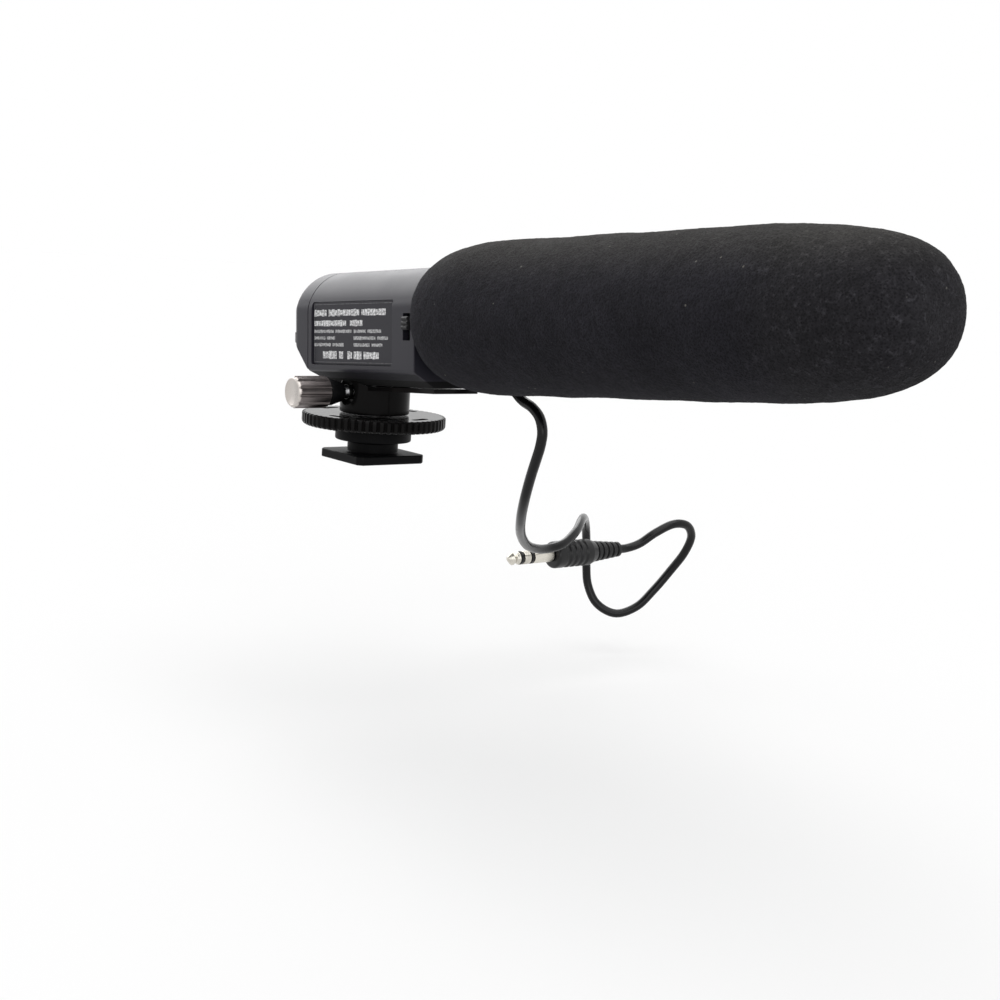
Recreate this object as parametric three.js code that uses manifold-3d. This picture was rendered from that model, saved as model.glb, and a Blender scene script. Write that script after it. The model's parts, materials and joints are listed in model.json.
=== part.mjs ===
// An on camera microphone: a small condenser shotgun microphone that stands on a camera's accessory shoe.
// The shoe foot, its clamping wheel, the swivelling column with its thumb screw, the body with its battery
// cap and slide switch, the slotted tube under the foam windscreen, and the short lead with its 3.5 mm plug.
//
// Units are millimetres. X is the way the microphone faces, Y is to its left and Z is up.
// The origin is the centre of the shoe foot's bottom face, under the axis of the clamping wheel.
// The head points up by a few degrees: its pieces are built level and are turned when they are placed.

import * as THREE from 'three';
import { mergeVertices } from 'three/addons/utils/BufferGeometryUtils.js';
import Module from 'manifold-3d';

const wasm = await Module();
wasm.setup();

// Driving dimensions

// Clearance between pieces that touch, and the length by which a cutter runs past what it cuts.
const seat = 0.3;
const overrun = 2;

// The shoe foot that slides under the camera's shoe rails, and the gap that the rails fill.
const foot = { width: 18.6, length: 18, thickness: 2, corner: 1.2, neckDiameter: 12, socketDepth: 0.9 };
const railGap = 2.8;

// The steel post that stands in the foot and carries everything above it. A groove round its top holds the
// thumb screw's tip, and is high enough for the stack to rise on the post by the clamp's travel.
const post = { diameter: 8, topDiameter: 7, grooveDiameter: 5.4, capHeight: 0.6 };
const clampTravel = 1.2;

// The pressure disc that bears on the rails, and the knurled wheel over it.
const disc = { diameter: 18, thickness: 2.9, edge: 0.4 };
const wheel = { diameter: 34, thickness: 3, ribDepth: 0.6, topEdge: 0.35, lowEdge: 0.8 };
const wheelRibs = 64;
const wheelCrestShare = 0.45;
const wheelSlot = { circle: 26.8, width: 1.8, length: 5.6 };
const wheelSlots = 4;
const wheelSlotTurn = THREE.MathUtils.degToRad(20);

// The round column under the body, with its thumb screw at the side.
const column = { diameter: 16.5, height: 6.5, flare: 1.8, flareHeight: 2.6, bottomEdge: 0.4 };
const thumb = {
  drop: 1.6, shaftDiameter: 2.5, knobDiameter: 7.4, knobLength: 7.1, knobReach: 21.5,
  fluteDepth: 0.42, knobEdge: 0.5, dish: 0.35, collarLength: 4.6, collarDiameter: 6.2, collarTip: 3.6,
};
const thumbFlutes = 12;
const thumbCrestShare = 0.5;
const washer = { diameter: 3.6, thickness: 1.1, spotDiameter: 6.2, spotDepth: 1.5 };
const columnScrew = { spacing: 12.2, diameter: 2, length: 4.6, headDiameter: 3.6, headHeight: 1.1 };

// How far the head points up on the column, in degrees.
const headPitch = 4.5;

// The body: flat sides, an arched top, a bottom drawn in by chamfers, and a sloping lower rear corner.
const body = {
  width: 22.8, bottomWidth: 11.8, chamferHeight: 2.4, axisHeight: 15.2, creaseHeight: 18.5, crownHeight: 26.6,
  front: 33, rear: 19.2, wall: 1.6, rearRound: 3,
};
const cap = { depth: 7.7, lipLength: 3.6, lipWall: 0.9 };
const label = { length: 34.3, height: 14.6, rear: 9.9, low: 4.6, depth: 1, corner: 0.8, plate: 0.3 };
const switchSlot = { width: 2.8, height: 5.9, low: 10.3, front: 1.6 };
const slider = { height: 2.9, proud: 0.8, top: 0.7, flange: 0.8, flangeGrow: 1.1, ridgeDepth: 0.35 };
const sliderRidges = 3;
const sliderRidgeShares = [0.7, 0.3];
const switchCase = { length: 3.3, height: 9.4, depth: 2.6 };

// Inside the body: the cell, its cradle and contacts, and the circuit board.
const cell = {
  diameter: 10.5, length: 44.5, nubDiameter: 3.8, nubLength: 1.1, left: 3.1, above: 0.4, front: 29.5,
};
const cradle = {
  wall: 0.7, rear: 7.5, legWidth: 3, legLeft: 1.1, stripHeight: 2.2, grooveDepth: 1.4, endWall: 0.6,
};
const board = { length: 38, thickness: 1.2, height: 18.4, left: 4.8, low: 3.4 };
const contact = { side: 7, thickness: 0.3, bow: 2, foot: 0.9, height: 7.4, width: 5, corner: 0.9 };

// The slotted tube in front of the body, with its collar, capsule and end grille.
const tube = { diameter: 19.8, wall: 1, front: 149 };
const tubeSlot = { length: 10, width: 2, corner: 0.8, pitch: 15.4, first: 56 };
const tubeSlotsAlong = 6;
const tubeSlotsAround = 4;
const collar = { length: 2.7, spigot: 4, bore: 9.2, rearDiameter: 12 };
const grille = { face: 1.2, rim: 2, spigot: 3, wall: 1.4, holeDiameter: 2.4, holePitch: 3.6 };
const capsule = { length: 6.8, bootWall: 3.45, bootLength: 6, portWall: 2.35, portDepth: 0.6 };

// The foam windscreen: swelling from its mouth, tapering forward, with a long blunt nose.
const foam = {
  start: 0.8, mouthRadius: 12.5, rearRadius: 16.15, frontRadius: 15.45, rearLength: 17.5, noseLength: 58.3,
  length: 126.1, boreClearance: 0.4, tipWall: 8,
};
const noseFullness = 3.65;
const mouthFullness = 2.03;
const noseCrowdingShare = 0.7;
const mouthRings = 6;
const noseRings = 11;

// The lead, its grommet in the body's front face, and the plug with its ribbed strain relief.
const cord = { diameter: 2.3, relief: 0.45 };
const cordSides = 8;
const cordStepDiameters = 2;
const grommet = { left: 9, above: 3.8, diameter: 3.8, holeDiameter: 3.2, proud: 0.6 };
const plug = {
  x: 5.5, z: -25.7, reliefStart: 65, reliefLength: 9.3, reliefRoot: 5.4, reliefTip: 4, ribDepth: 0.55,
  bodyLength: 14, bodyDiameter: 7, bodyEdge: 0.8, contactDiameter: 3.5, shaftLength: 14, tipLength: 3.2,
  tipNeck: 2.2, ringLength: 2, bandWidth: 0.7, tipPoint: 1,
};
const reliefRibs = 5;
const reliefCrestShare = 0.55;
const reliefFlankShare = 0.6;
const tipWidestShare = 0.4;
const tipNeckShare = 0.75;

// The lead's route from the grommet to the plug's strain relief, before the head is turned up.
const cordRoute = [
  [33.9, 9, 21.6], [36.2, 9, 21.6], [39, 9.05, 20.4], [41.8, 9.1, 17.7], [45, 9, 15.5], [48.4, 9, 14.1],
  [51, 9, 12], [52, 9, 9], [51.4, 9, 6], [49.8, 9.2, 2.9], [47.4, 9.8, -0.7], [43.4, 11.4, -6],
  [36.3, 16, -11.6], [25.6, 24.8, -17.2], [17.5, 34, -21.2], [13.8, 42, -22.6], [13.2, 48, -21.8],
  [10.4, 54.5, -19.4],
  [5, 61, -17.4], [-1.6, 67.6, -17.8], [-6.6, 72.6, -20.8], [-9, 75, -25.6], [-10, 76, -31.4],
  [-9.8, 76.6, -37.6], [-7.8, 78.2, -42.6], [-4.4, 82, -45.2], [-1.4, 87, -43.4], [0.8, 91.4, -38.8],
  [3.4, 95, -33.4], [6.8, 97, -28], [9.6, 96.6, -23.2], [11, 93.4, -20], [10.8, 88.6, -19.4],
  [9, 83.8, -21.6], [6.8, 79.8, -24.6], [5.5, 76.2, -25.7], [5.5, 73.77, -25.7],
];

// Places worked out from the sizes

const discBottom = foot.thickness + railGap;
const discTop = discBottom + disc.thickness;
const wheelBottom = discTop + seat;
const wheelTop = wheelBottom + wheel.thickness;
const columnBottom = wheelTop + seat;
const bodyBottom = columnBottom + column.height;
const axisZ = bodyBottom + body.axisHeight;
const thumbZ = bodyBottom - thumb.drop;
const sideY = body.width / 2;
const capSplit = -body.rear + cap.depth;
const slopeStart = -(columnScrew.spacing + columnScrew.headDiameter) / 2 - seat;
const innerFront = body.front - body.wall;
const innerFloor = bodyBottom + body.wall;
const tubeRadius = tube.diameter / 2;
const tubeBore = tubeRadius - tube.wall;
const spigotRadius = tubeBore - seat;
const flangeStart = body.front + seat;
const flangeEnd = flangeStart + collar.length;
const cellZ = axisZ + cell.above;
const grooveTop = thumbZ + clampTravel + thumb.shaftDiameter / 2 + seat;
const grooveLow = thumbZ - thumb.shaftDiameter / 2 - seat;
const grooveDepth = (post.topDiameter - post.grooveDiameter) / 2;
const postTop = grooveTop + grooveDepth + post.capHeight;

// Geometry helpers

const quarterTurn = Math.PI / 2;
const fine = 32;
const medium = 24;
const coarse = 12;
const crownSteps = 14;
const rearRoundSteps = 4;

// The volume that a closed geometry holds, negative where its faces point in.
function signedVolume(geometry) {
  const position = geometry.getAttribute('position');
  const [a, b, c] = [new THREE.Vector3(), new THREE.Vector3(), new THREE.Vector3()];
  let sum = 0;
  for (let i = 0; i < geometry.index.count; i += 3) {
    a.fromBufferAttribute(position, geometry.index.getX(i));
    b.fromBufferAttribute(position, geometry.index.getX(i + 1));
    c.fromBufferAttribute(position, geometry.index.getX(i + 2));
    sum += a.dot(b.cross(c)) / 6;
  }
  return sum;
}

// A manifold-3d solid from a closed geometry, with its shared vertices merged and its faces pointing out.
function solid(geometry) {
  const bare = geometry.clone();
  for (const name of ['normal', 'uv']) bare.deleteAttribute(name);
  const merged = mergeVertices(bare, seat / 1000);
  const corners = [...merged.index.array];
  const inward = signedVolume(merged) < 0;
  const triangles = [];
  for (let i = 0; i < corners.length; i += 3) {
    const [a, b, c] = corners.slice(i, i + 3);
    if (a === b || b === c || c === a) continue;
    triangles.push(a, ...(inward ? [c, b] : [b, c]));
  }
  return new wasm.Manifold(new wasm.Mesh({
    numProp: 3,
    vertProperties: new Float32Array(merged.getAttribute('position').array),
    triVerts: new Uint32Array(triangles),
  }));
}

// A three.js geometry from a manifold-3d solid.
function geometryOf(manifold) {
  const mesh = manifold.getMesh();
  const geometry = new THREE.BufferGeometry();
  geometry.setAttribute('position', new THREE.BufferAttribute(new Float32Array(mesh.vertProperties), 3));
  geometry.setIndex([...mesh.triVerts]);
  geometry.computeVertexNormals();
  return geometry;
}

// The head's turn about a line across the column's foot: a level geometry or solid is turned up with the
// head, and a solid that stands on the foot is turned the other way, to where a level head meets it.
function turnedUp(geometry) {
  return geometry.translate(0, 0, -columnBottom).rotateY(-THREE.MathUtils.degToRad(headPitch))
    .translate(0, 0, columnBottom);
}

function solidTurned(piece, degrees) {
  return piece.translate([0, 0, -columnBottom]).rotate([0, degrees, 0]).translate([0, 0, columnBottom]);
}

const join = (first, ...rest) => rest.reduce((sum, piece) => sum.add(piece), first);
const cut = (first, ...tools) => tools.reduce((sum, tool) => sum.subtract(tool), first);

// A box between two corners.
function box([x0, y0, z0], [x1, y1, z1]) {
  const geometry = new THREE.BoxGeometry(x1 - x0, y1 - y0, z1 - z0);
  return solid(geometry.translate((x0 + x1) / 2, (y0 + y1) / 2, (z0 + z1) / 2));
}

// A turned piece about Z: its profile is pairs of radius and height.
function turned(profile, segments = fine) {
  const points = profile.map(([radius, height]) => new THREE.Vector2(radius, height));
  return new THREE.LatheGeometry(points, segments).rotateX(quarterTurn);
}

const turnedAboutZ = (profile, segments) => solid(turned(profile, segments));

// The same piece about a line along X, at a given y and z; its profile's heights become x.
function turnedAboutX(profile, y, z, segments) {
  return solid(turned(profile, segments).rotateY(quarterTurn).translate(0, y, z));
}

// The same piece about a line along Y, at a given x and z; its profile's heights become y.
function turnedAboutY(profile, x, z, segments) {
  return solid(turned(profile, segments).rotateX(-quarterTurn).translate(x, 0, z));
}

// The profile of a plain or bored cylinder between two heights.
function cylinderProfile(radius, low, high, bore = 0) {
  const outer = [[radius, low], [radius, high]];
  if (bore === 0) return [[0, low], ...outer, [0, high]];
  return [[bore, low], ...outer, [bore, high], [bore, low]];
}

// A shape from a list of points, with a list of holes.
function shapeOf(points, holes = []) {
  const shape = new THREE.Shape(points.map(([x, y]) => new THREE.Vector2(x, y)));
  shape.holes = holes;
  return shape;
}

// A rectangle with round corners, centred on a point.
function roundedRectangle(width, height, corner, x = 0, y = 0) {
  const [right, top] = [x + width / 2, y + height / 2];
  const [left, low] = [x - width / 2, y - height / 2];
  const shape = new THREE.Shape();
  shape.absarc(right - corner, low + corner, corner, -quarterTurn, 0);
  shape.absarc(right - corner, top - corner, corner, 0, quarterTurn);
  shape.absarc(left + corner, top - corner, corner, quarterTurn, Math.PI);
  shape.absarc(left + corner, low + corner, corner, Math.PI, Math.PI + quarterTurn);
  return shape;
}

// A shape pushed along Z, along X with its own axes as y and z, or along Y with its own axes as x and z.
function pushed(shape, depth, curveSegments = 5, more = {}) {
  return new THREE.ExtrudeGeometry(shape, { depth, bevelEnabled: false, curveSegments, ...more });
}

function pushedAlongZ(shape, low, high, curveSegments) {
  return solid(pushed(shape, high - low, curveSegments).translate(0, 0, low));
}

function pushedAlongX(shape, low, high, curveSegments, more) {
  const turn = new THREE.Matrix4().makeBasis(
    new THREE.Vector3(0, 1, 0), new THREE.Vector3(0, 0, 1), new THREE.Vector3(1, 0, 0));
  return solid(pushed(shape, high - low, curveSegments, more).applyMatrix4(turn).translate(low, 0, 0));
}

function pushedAlongY(shape, low, high, curveSegments) {
  const turn = new THREE.Matrix4().makeBasis(
    new THREE.Vector3(1, 0, 0), new THREE.Vector3(0, 0, 1), new THREE.Vector3(0, -1, 0));
  return solid(pushed(shape, high - low, curveSegments).applyMatrix4(turn).translate(0, high, 0));
}

// The outline of a ribbed or fluted bar: each rib is a flat crest, with a groove of two flanks beside it.
function ribbedOutline(radius, depth, ribs, crestShare) {
  const points = [];
  for (let rib = 0; rib < ribs; rib += 1) {
    const corners = [[0, radius], [crestShare, radius], [(1 + crestShare) / 2, radius - depth]];
    for (const [share, r] of corners) {
      const angle = ((rib + share) / ribs) * 2 * Math.PI;
      points.push([r * Math.cos(angle), r * Math.sin(angle)]);
    }
  }
  return shapeOf(points);
}

// The shoe foot and its post

function shoeFoot() {
  const [halfLength, halfWidth, c] = [foot.length / 2, foot.width / 2, foot.corner];
  const outline = shapeOf([
    [-halfLength + c, -halfWidth], [halfLength - c, -halfWidth], [halfLength, -halfWidth + c],
    [halfLength, halfWidth - c], [halfLength - c, halfWidth], [-halfLength + c, halfWidth],
    [-halfLength, halfWidth - c], [-halfLength, -halfWidth + c],
  ]);
  const plate = pushedAlongZ(outline, 0, foot.thickness);
  const neck = turnedAboutZ(cylinderProfile(foot.neckDiameter / 2, 0, discBottom - seat));
  const socket = turnedAboutZ(cylinderProfile(post.diameter / 2 + seat, foot.socketDepth, discTop));
  return geometryOf(cut(join(plate, neck), socket));
}

function clampPost() {
  const [wide, top, groove] = [post.diameter / 2, post.topDiameter / 2, post.grooveDiameter / 2];
  return geometryOf(turnedAboutZ([
    [0, foot.socketDepth + seat], [wide, foot.socketDepth + seat], [wide, wheelTop - (wide - top)],
    [top, wheelTop], [top, grooveLow - grooveDepth], [groove, grooveLow], [groove, grooveTop],
    [top, grooveTop + grooveDepth], [top, postTop], [0, postTop],
  ], medium));
}

// The pressure disc and the clamping wheel

const stackBore = post.diameter / 2 + seat;

function pressureDisc() {
  const [r, e] = [disc.diameter / 2, disc.edge];
  return geometryOf(turnedAboutZ([
    [stackBore, discBottom], [r - e, discBottom], [r, discBottom + e], [r, discTop - e], [r - e, discTop],
    [stackBore, discTop], [stackBore, discBottom],
  ]));
}

function slotShape(circle, width, length, angle) {
  const spread = (length - width) / circle;
  const shape = new THREE.Shape();
  const [inner, outer] = [(circle - width) / 2, (circle + width) / 2];
  shape.absarc(0, 0, outer, angle - spread, angle + spread);
  shape.absarc(0, 0, inner, angle + spread, angle - spread, true);
  return shape;
}

function lockWheel() {
  const r = wheel.diameter / 2;
  const outline = ribbedOutline(r, wheel.ribDepth, wheelRibs, wheelCrestShare);
  const rim = pushedAlongZ(outline, wheelBottom, wheelTop);
  const envelope = turnedAboutZ([
    [0, wheelBottom], [r - wheel.lowEdge, wheelBottom], [r, wheelBottom + wheel.lowEdge],
    [r, wheelTop - wheel.topEdge], [r - wheel.topEdge, wheelTop], [0, wheelTop],
  ], wheelRibs);
  const bore = turnedAboutZ(cylinderProfile(stackBore, wheelBottom - overrun, wheelTop + overrun));
  const slots = Array.from({ length: wheelSlots }, (_, i) => {
    const angle = wheelSlotTurn + (i / wheelSlots) * 2 * Math.PI;
    const shape = slotShape(wheelSlot.circle, wheelSlot.width, wheelSlot.length, angle);
    return pushedAlongZ(shape, wheelBottom - overrun, wheelTop + overrun);
  });
  return geometryOf(cut(rim.intersect(envelope), bore, ...slots));
}

// The body's section, drawn in by an inset

const slope = Math.atan2(body.chamferHeight, (body.width - body.bottomWidth) / 2);
const crownRise = body.crownHeight - body.creaseHeight;
const crownRadius = (sideY ** 2 + crownRise ** 2) / (2 * crownRise);
const crownCentre = bodyBottom + body.crownHeight - crownRadius;

function sectionShape(inset) {
  const half = sideY - inset;
  const radius = crownRadius - inset;
  const lowHalf = body.bottomWidth / 2 - inset * Math.tan(slope / 2);
  const lowSide = bodyBottom + body.chamferHeight + inset * Math.tan((quarterTurn - slope) / 2);
  const start = Math.acos(half / radius);
  const shape = new THREE.Shape();
  shape.moveTo(-half, lowSide);
  shape.lineTo(-lowHalf, bodyBottom + inset);
  shape.lineTo(lowHalf, bodyBottom + inset);
  shape.lineTo(half, lowSide);
  shape.absarc(0, crownCentre, radius, start, Math.PI - start);
  return shape;
}

// The wedge below the sloping rear corner, moved in by an offset.
function rearWedge(offset) {
  const reach = slopeStart + bodyBottom + offset * Math.SQRT2;
  const [left, low] = [-body.rear - overrun, bodyBottom - overrun];
  const shape = shapeOf([[left, low], [reach - low, low], [left, reach - left]]);
  return pushedAlongY(shape, -body.width, body.width);
}

// The body's outer form: sections drawn in towards the rounded rear end, closed by flat ends.
function bodyForm() {
  const stations = Array.from({ length: rearRoundSteps + 1 }, (_, i) => {
    const angle = (i / rearRoundSteps) * quarterTurn;
    return [-body.rear + body.rearRound * (1 - Math.sin(angle)), body.rearRound * (1 - Math.cos(angle))];
  }).reverse();
  const rings = [...stations, [body.front, 0]].map(([x, inset]) => (
    sectionShape(inset).getPoints(crownSteps).map(({ x: y, y: z }) => [x, y, z])));
  const around = rings[0].length;
  const faces = [];
  for (let i = 0; i < around; i += 1) {
    const next = (i + 1) % around;
    for (let ring = 0; ring < rings.length - 1; ring += 1) {
      const [a, b] = [ring * around + i, ring * around + next];
      faces.push(a, b, b + around, a, b + around, a + around);
    }
    const last = (rings.length - 1) * around;
    if (i > 0 && next > 0) faces.push(0, next, i, last, last + i, last + next);
  }
  const geometry = new THREE.BufferGeometry();
  geometry.setAttribute('position', new THREE.Float32BufferAttribute(rings.flat(2), 3));
  geometry.setIndex(faces);
  return cut(solid(geometry), rearWedge(0));
}

// The space inside the body's walls, between two places along X.
function bodySpace(inset, rear, front) {
  return cut(pushedAlongX(sectionShape(inset), rear, front, crownSteps), rearWedge(inset));
}

// What is behind or in front of a plane across the body.
function halfSpace(from, to) {
  return box([from, -body.width, 0], [to, body.width, axisZ + body.width]);
}

const columnBore = post.topDiameter / 2 + seat;
const boreForPost = turnedAboutZ(cylinderProfile(columnBore, columnBottom - overrun, postTop + overrun));

function columnScrewPlaces() {
  return [-1, 1].map((side) => (side * columnScrew.spacing) / 2);
}

// The holes for the column's screws, between two heights.
function columnScrewHoles(low, high) {
  const profile = cylinderProfile(columnScrew.diameter / 2 + seat, low, high);
  return columnScrewPlaces().map((x) => solid(turned(profile, coarse).translate(x, 0, 0)));
}

function bodyShell() {
  const behind = halfSpace(-body.rear - overrun, capSplit + seat / 2);
  const space = bodySpace(body.wall, capSplit - overrun, innerFront);
  const labelShape = roundedRectangle(label.length, label.height, label.corner,
    -label.rear + label.length / 2, bodyBottom + label.low + label.height / 2);
  const recess = pushedAlongY(labelShape, -body.width, -sideY + label.depth);
  const slotFront = body.front - switchSlot.front;
  const slotLow = bodyBottom + switchSlot.low;
  const slot = box([slotFront - switchSlot.width, -body.width, slotLow],
    [slotFront, -sideY + body.wall + overrun, slotLow + switchSlot.height]);
  const collarHole = turnedAboutX(cylinderProfile(collar.rearDiameter / 2 + seat, innerFront - overrun,
    body.front + overrun), 0, axisZ);
  const leadHole = turnedAboutX(cylinderProfile(grommet.holeDiameter / 2 + seat, innerFront - overrun,
    body.front + overrun), grommet.left, bodyBottom + grommet.above, coarse);
  const screwHoles = columnScrewHoles(bodyBottom - overrun, innerFloor + overrun);
  return geometryOf(cut(bodyForm(), behind, space, recess, slot, collarHole, leadHole,
    solidTurned(boreForPost, headPitch), ...screwHoles));
}

function batteryCap() {
  const ahead = halfSpace(capSplit - seat / 2, body.front + overrun);
  const space = bodySpace(body.wall, -body.rear + body.wall, capSplit + overrun);
  const shell = cut(bodyForm(), ahead, space);
  const lipInset = body.wall + seat;
  const lipStart = capSplit - body.wall;
  const lipEnd = capSplit + cap.lipLength;
  // The lip has no lower side, so that it draws back clear of the shell's sloping wall.
  const slopeTop = slopeStart + bodyBottom + body.wall * Math.SQRT2 - capSplit;
  const lowerSide = box([capSplit - seat / 2, -body.width, 0],
    [lipEnd + overrun, body.width, slopeTop + seat]);
  const lip = cut(bodySpace(lipInset, lipStart, lipEnd),
    bodySpace(lipInset + cap.lipWall, lipStart - overrun, lipEnd + overrun), lowerSide);
  const web = cut(bodySpace(body.wall / 2, lipStart, capSplit - seat / 2),
    bodySpace(lipInset + cap.lipWall, lipStart - overrun, lipEnd + overrun));
  return geometryOf(join(shell, web, lip));
}

function labelPlate() {
  const shape = roundedRectangle(label.length - 2 * seat, label.height - 2 * seat, label.corner,
    -label.rear + label.length / 2, bodyBottom + label.low + label.height / 2);
  const back = -sideY + label.depth - seat;
  return geometryOf(pushedAlongY(shape, back - label.plate, back));
}

// The column and its screws

function mountColumn() {
  const [r, flare] = [column.diameter / 2, column.flare];
  const flareLow = bodyBottom - column.flareHeight;
  const steps = 4;
  const fillet = Array.from({ length: steps + 1 }, (_, i) => {
    const angle = (i / steps) * quarterTurn;
    return [r + flare * (1 - Math.cos(angle)), flareLow + column.flareHeight * Math.sin(angle)];
  });
  const top = bodyBottom + body.chamferHeight;
  const stem = turnedAboutZ([
    [0, columnBottom], [r - column.bottomEdge, columnBottom], [r, columnBottom + column.bottomEdge],
    ...fillet, [r + flare, top], [0, top],
  ]);
  const bodyAbove = pushedAlongX(sectionShape(-seat), -body.rear, body.front, crownSteps);
  const screwBore = turnedAboutY(cylinderProfile(thumb.shaftDiameter / 2 + seat, -body.width, 0),
    0, thumbZ, coarse);
  const spotFace = turnedAboutY(cylinderProfile(washer.spotDiameter / 2, -body.width, -r + washer.spotDepth),
    0, thumbZ, medium);
  const threads = columnScrewHoles(innerFloor - columnScrew.length, top + overrun);
  const fromHead = [bodyAbove, ...threads].map((tool) => solidTurned(tool, -headPitch));
  return geometryOf(cut(stem, boreForPost, screwBore, spotFace, ...fromHead));
}

function columnScrewPiece(x) {
  const [shank, head] = [columnScrew.diameter / 2, columnScrew.headDiameter / 2];
  const seatHeight = innerFloor + seat;
  const tip = innerFloor - columnScrew.length + seat;
  const top = seatHeight + columnScrew.headHeight;
  return geometryOf(solid(turned([
    [0, tip], [shank, tip], [shank, seatHeight], [head, seatHeight], [head, (seatHeight + top) / 2],
    [head - shank / 2, top], [0, top],
  ], coarse).translate(x, 0, 0)));
}

// The thumb screw: washer, shaft, plastic collar and fluted knob, all about a line along Y

const spotY = -(column.diameter / 2 - washer.spotDepth);
const washerOuter = spotY - seat - washer.thickness;
const knobInner = -thumb.knobReach + thumb.knobLength;

function thumbWasher() {
  const profile = cylinderProfile(washer.diameter / 2, washerOuter, spotY - seat,
    thumb.shaftDiameter / 2 + seat);
  return geometryOf(turnedAboutY(profile, 0, thumbZ, medium));
}

function thumbShaft() {
  const r = thumb.shaftDiameter / 2;
  const tip = -post.grooveDiameter / 2 - seat;
  const end = knobInner - thumb.knobLength / 2;
  const profile = [[0, end], [r, end], [r, tip - r / 2], [r / 2, tip], [0, tip]];
  return geometryOf(turnedAboutY(profile, 0, thumbZ, coarse));
}

function thumbCollar() {
  const [bore, r] = [thumb.shaftDiameter / 2 + seat, thumb.collarDiameter / 2];
  const outer = knobInner + seat;
  return geometryOf(turnedAboutY([
    [bore, outer], [r, outer], [r, outer + thumb.collarLength / 4],
    [thumb.collarTip / 2, outer + thumb.collarLength], [bore, outer + thumb.collarLength], [bore, outer],
  ], 0, thumbZ, medium));
}

function thumbKnob() {
  const [r, e, end] = [thumb.knobDiameter / 2, thumb.knobEdge, -thumb.knobReach];
  const shape = ribbedOutline(r, thumb.fluteDepth, thumbFlutes, thumbCrestShare);
  const bar = pushedAlongY(shape, end, knobInner).translate([0, 0, thumbZ]);
  const envelope = turnedAboutY([
    [0, end + thumb.dish], [r - 2 * e, end + thumb.dish], [r - 2 * e, end], [r - e, end], [r, end + e],
    [r, knobInner - e], [r - e, knobInner], [0, knobInner],
  ], 0, thumbZ, fine);
  const bore = turnedAboutY(cylinderProfile(thumb.shaftDiameter / 2 + seat,
    knobInner - thumb.knobLength / 2 - seat, knobInner + overrun), 0, thumbZ, coarse);
  return geometryOf(cut(bar.intersect(envelope), bore));
}

// The slide switch

const slotCentreX = body.front - switchSlot.front - switchSlot.width / 2;
const sliderTop = bodyBottom + switchSlot.low + switchSlot.height - slider.top;

function switchSlider() {
  const width = switchSlot.width - 2 * seat;
  const low = sliderTop - slider.height;
  const outer = -sideY - slider.proud;
  const inner = -sideY + body.wall + seat;
  const pitch = slider.height / sliderRidges;
  const points = [[inner, low], [inner, sliderTop]];
  for (let ridge = sliderRidges - 1; ridge >= 0; ridge -= 1) {
    points.push([outer + slider.ridgeDepth, low + (ridge + 1) * pitch]);
    points.push(...sliderRidgeShares.map((share) => [outer, low + (ridge + share) * pitch]));
  }
  points.push([outer + slider.ridgeDepth, low]);
  const finger = pushedAlongX(shapeOf(points), slotCentreX - width / 2, slotCentreX + width / 2);
  const flange = box([slotCentreX - width / 2, inner - seat / 10, low - slider.flangeGrow],
    [slotCentreX + width / 2, inner + slider.flange, sliderTop + slider.flangeGrow]);
  return geometryOf(join(finger, flange));
}

function switchBody() {
  const near = -sideY + body.wall + seat + slider.flange + seat;
  const middle = bodyBottom + switchSlot.low + switchSlot.height / 2;
  return geometryOf(box(
    [innerFront - seat - switchCase.length, near, middle - switchCase.height / 2],
    [innerFront - seat, near + switchCase.depth, middle + switchCase.height / 2]));
}

// Inside the body

const boardRear = innerFront - seat - board.length;

function circuitBoard() {
  const low = bodyBottom + board.low;
  return geometryOf(box([boardRear, -board.left, low],
    [innerFront - seat, -board.left + board.thickness, low + board.height]));
}

function batteryCradle() {
  const inner = cell.diameter / 2 + seat;
  const outer = inner + cradle.wall;
  const troughShape = new THREE.Shape();
  troughShape.absarc(cell.left, cellZ, outer, Math.PI, 2 * Math.PI);
  troughShape.absarc(cell.left, cellZ, inner, 2 * Math.PI, Math.PI, true);
  const end = innerFront - seat;
  const trough = pushedAlongX(troughShape, -cradle.rear, end, coarse);
  const legRear = end - 2 * cradle.rear;
  const leg = box([legRear, cradle.legLeft, innerFloor + seat],
    [end, cradle.legLeft + cradle.legWidth, cellZ - inner - cradle.wall / 2]);
  const boardLow = bodyBottom + board.low;
  const stripLow = boardLow - seat - cradle.grooveDepth / 2;
  const strip = box([legRear, -board.left - seat - cradle.wall, stripLow],
    [end, cradle.legLeft + cradle.legWidth, stripLow + cradle.stripHeight]);
  const groove = box([legRear - overrun, -board.left - seat, boardLow - seat],
    [end + overrun, -board.left + board.thickness + seat, stripLow + cradle.stripHeight + overrun]);
  const wall = pushedAlongX(shapeOf([
    [cell.left - inner, cellZ], [cell.left + inner, cellZ], [cell.left + inner, cellZ + inner / 2],
    [cell.left, cellZ + inner], [cell.left - inner, cellZ + inner / 2],
  ]), end - cradle.endWall, end);
  const lowerHalf = new THREE.Shape();
  lowerHalf.absarc(cell.left, cellZ, inner + cradle.wall / 2, Math.PI, 2 * Math.PI);
  const lowerWall = pushedAlongX(lowerHalf, end - cradle.endWall, end, coarse);
  return geometryOf(join(trough, lowerWall, wall, leg, cut(strip, groove)));
}

function batteryCell() {
  const [r, nub, length] = [cell.diameter / 2, cell.nubDiameter / 2, cell.length];
  const rear = cell.front - length;
  const shoulder = cell.front - cell.nubLength;
  const crimp = cell.nubLength / 2;
  return geometryOf(turnedAboutX([
    [0, rear], [r - crimp, rear], [r, rear + crimp], [r, shoulder - crimp], [r - crimp, shoulder],
    [nub, shoulder], [nub, cell.front], [0, cell.front],
  ], cell.left, cellZ, medium));
}

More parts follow.
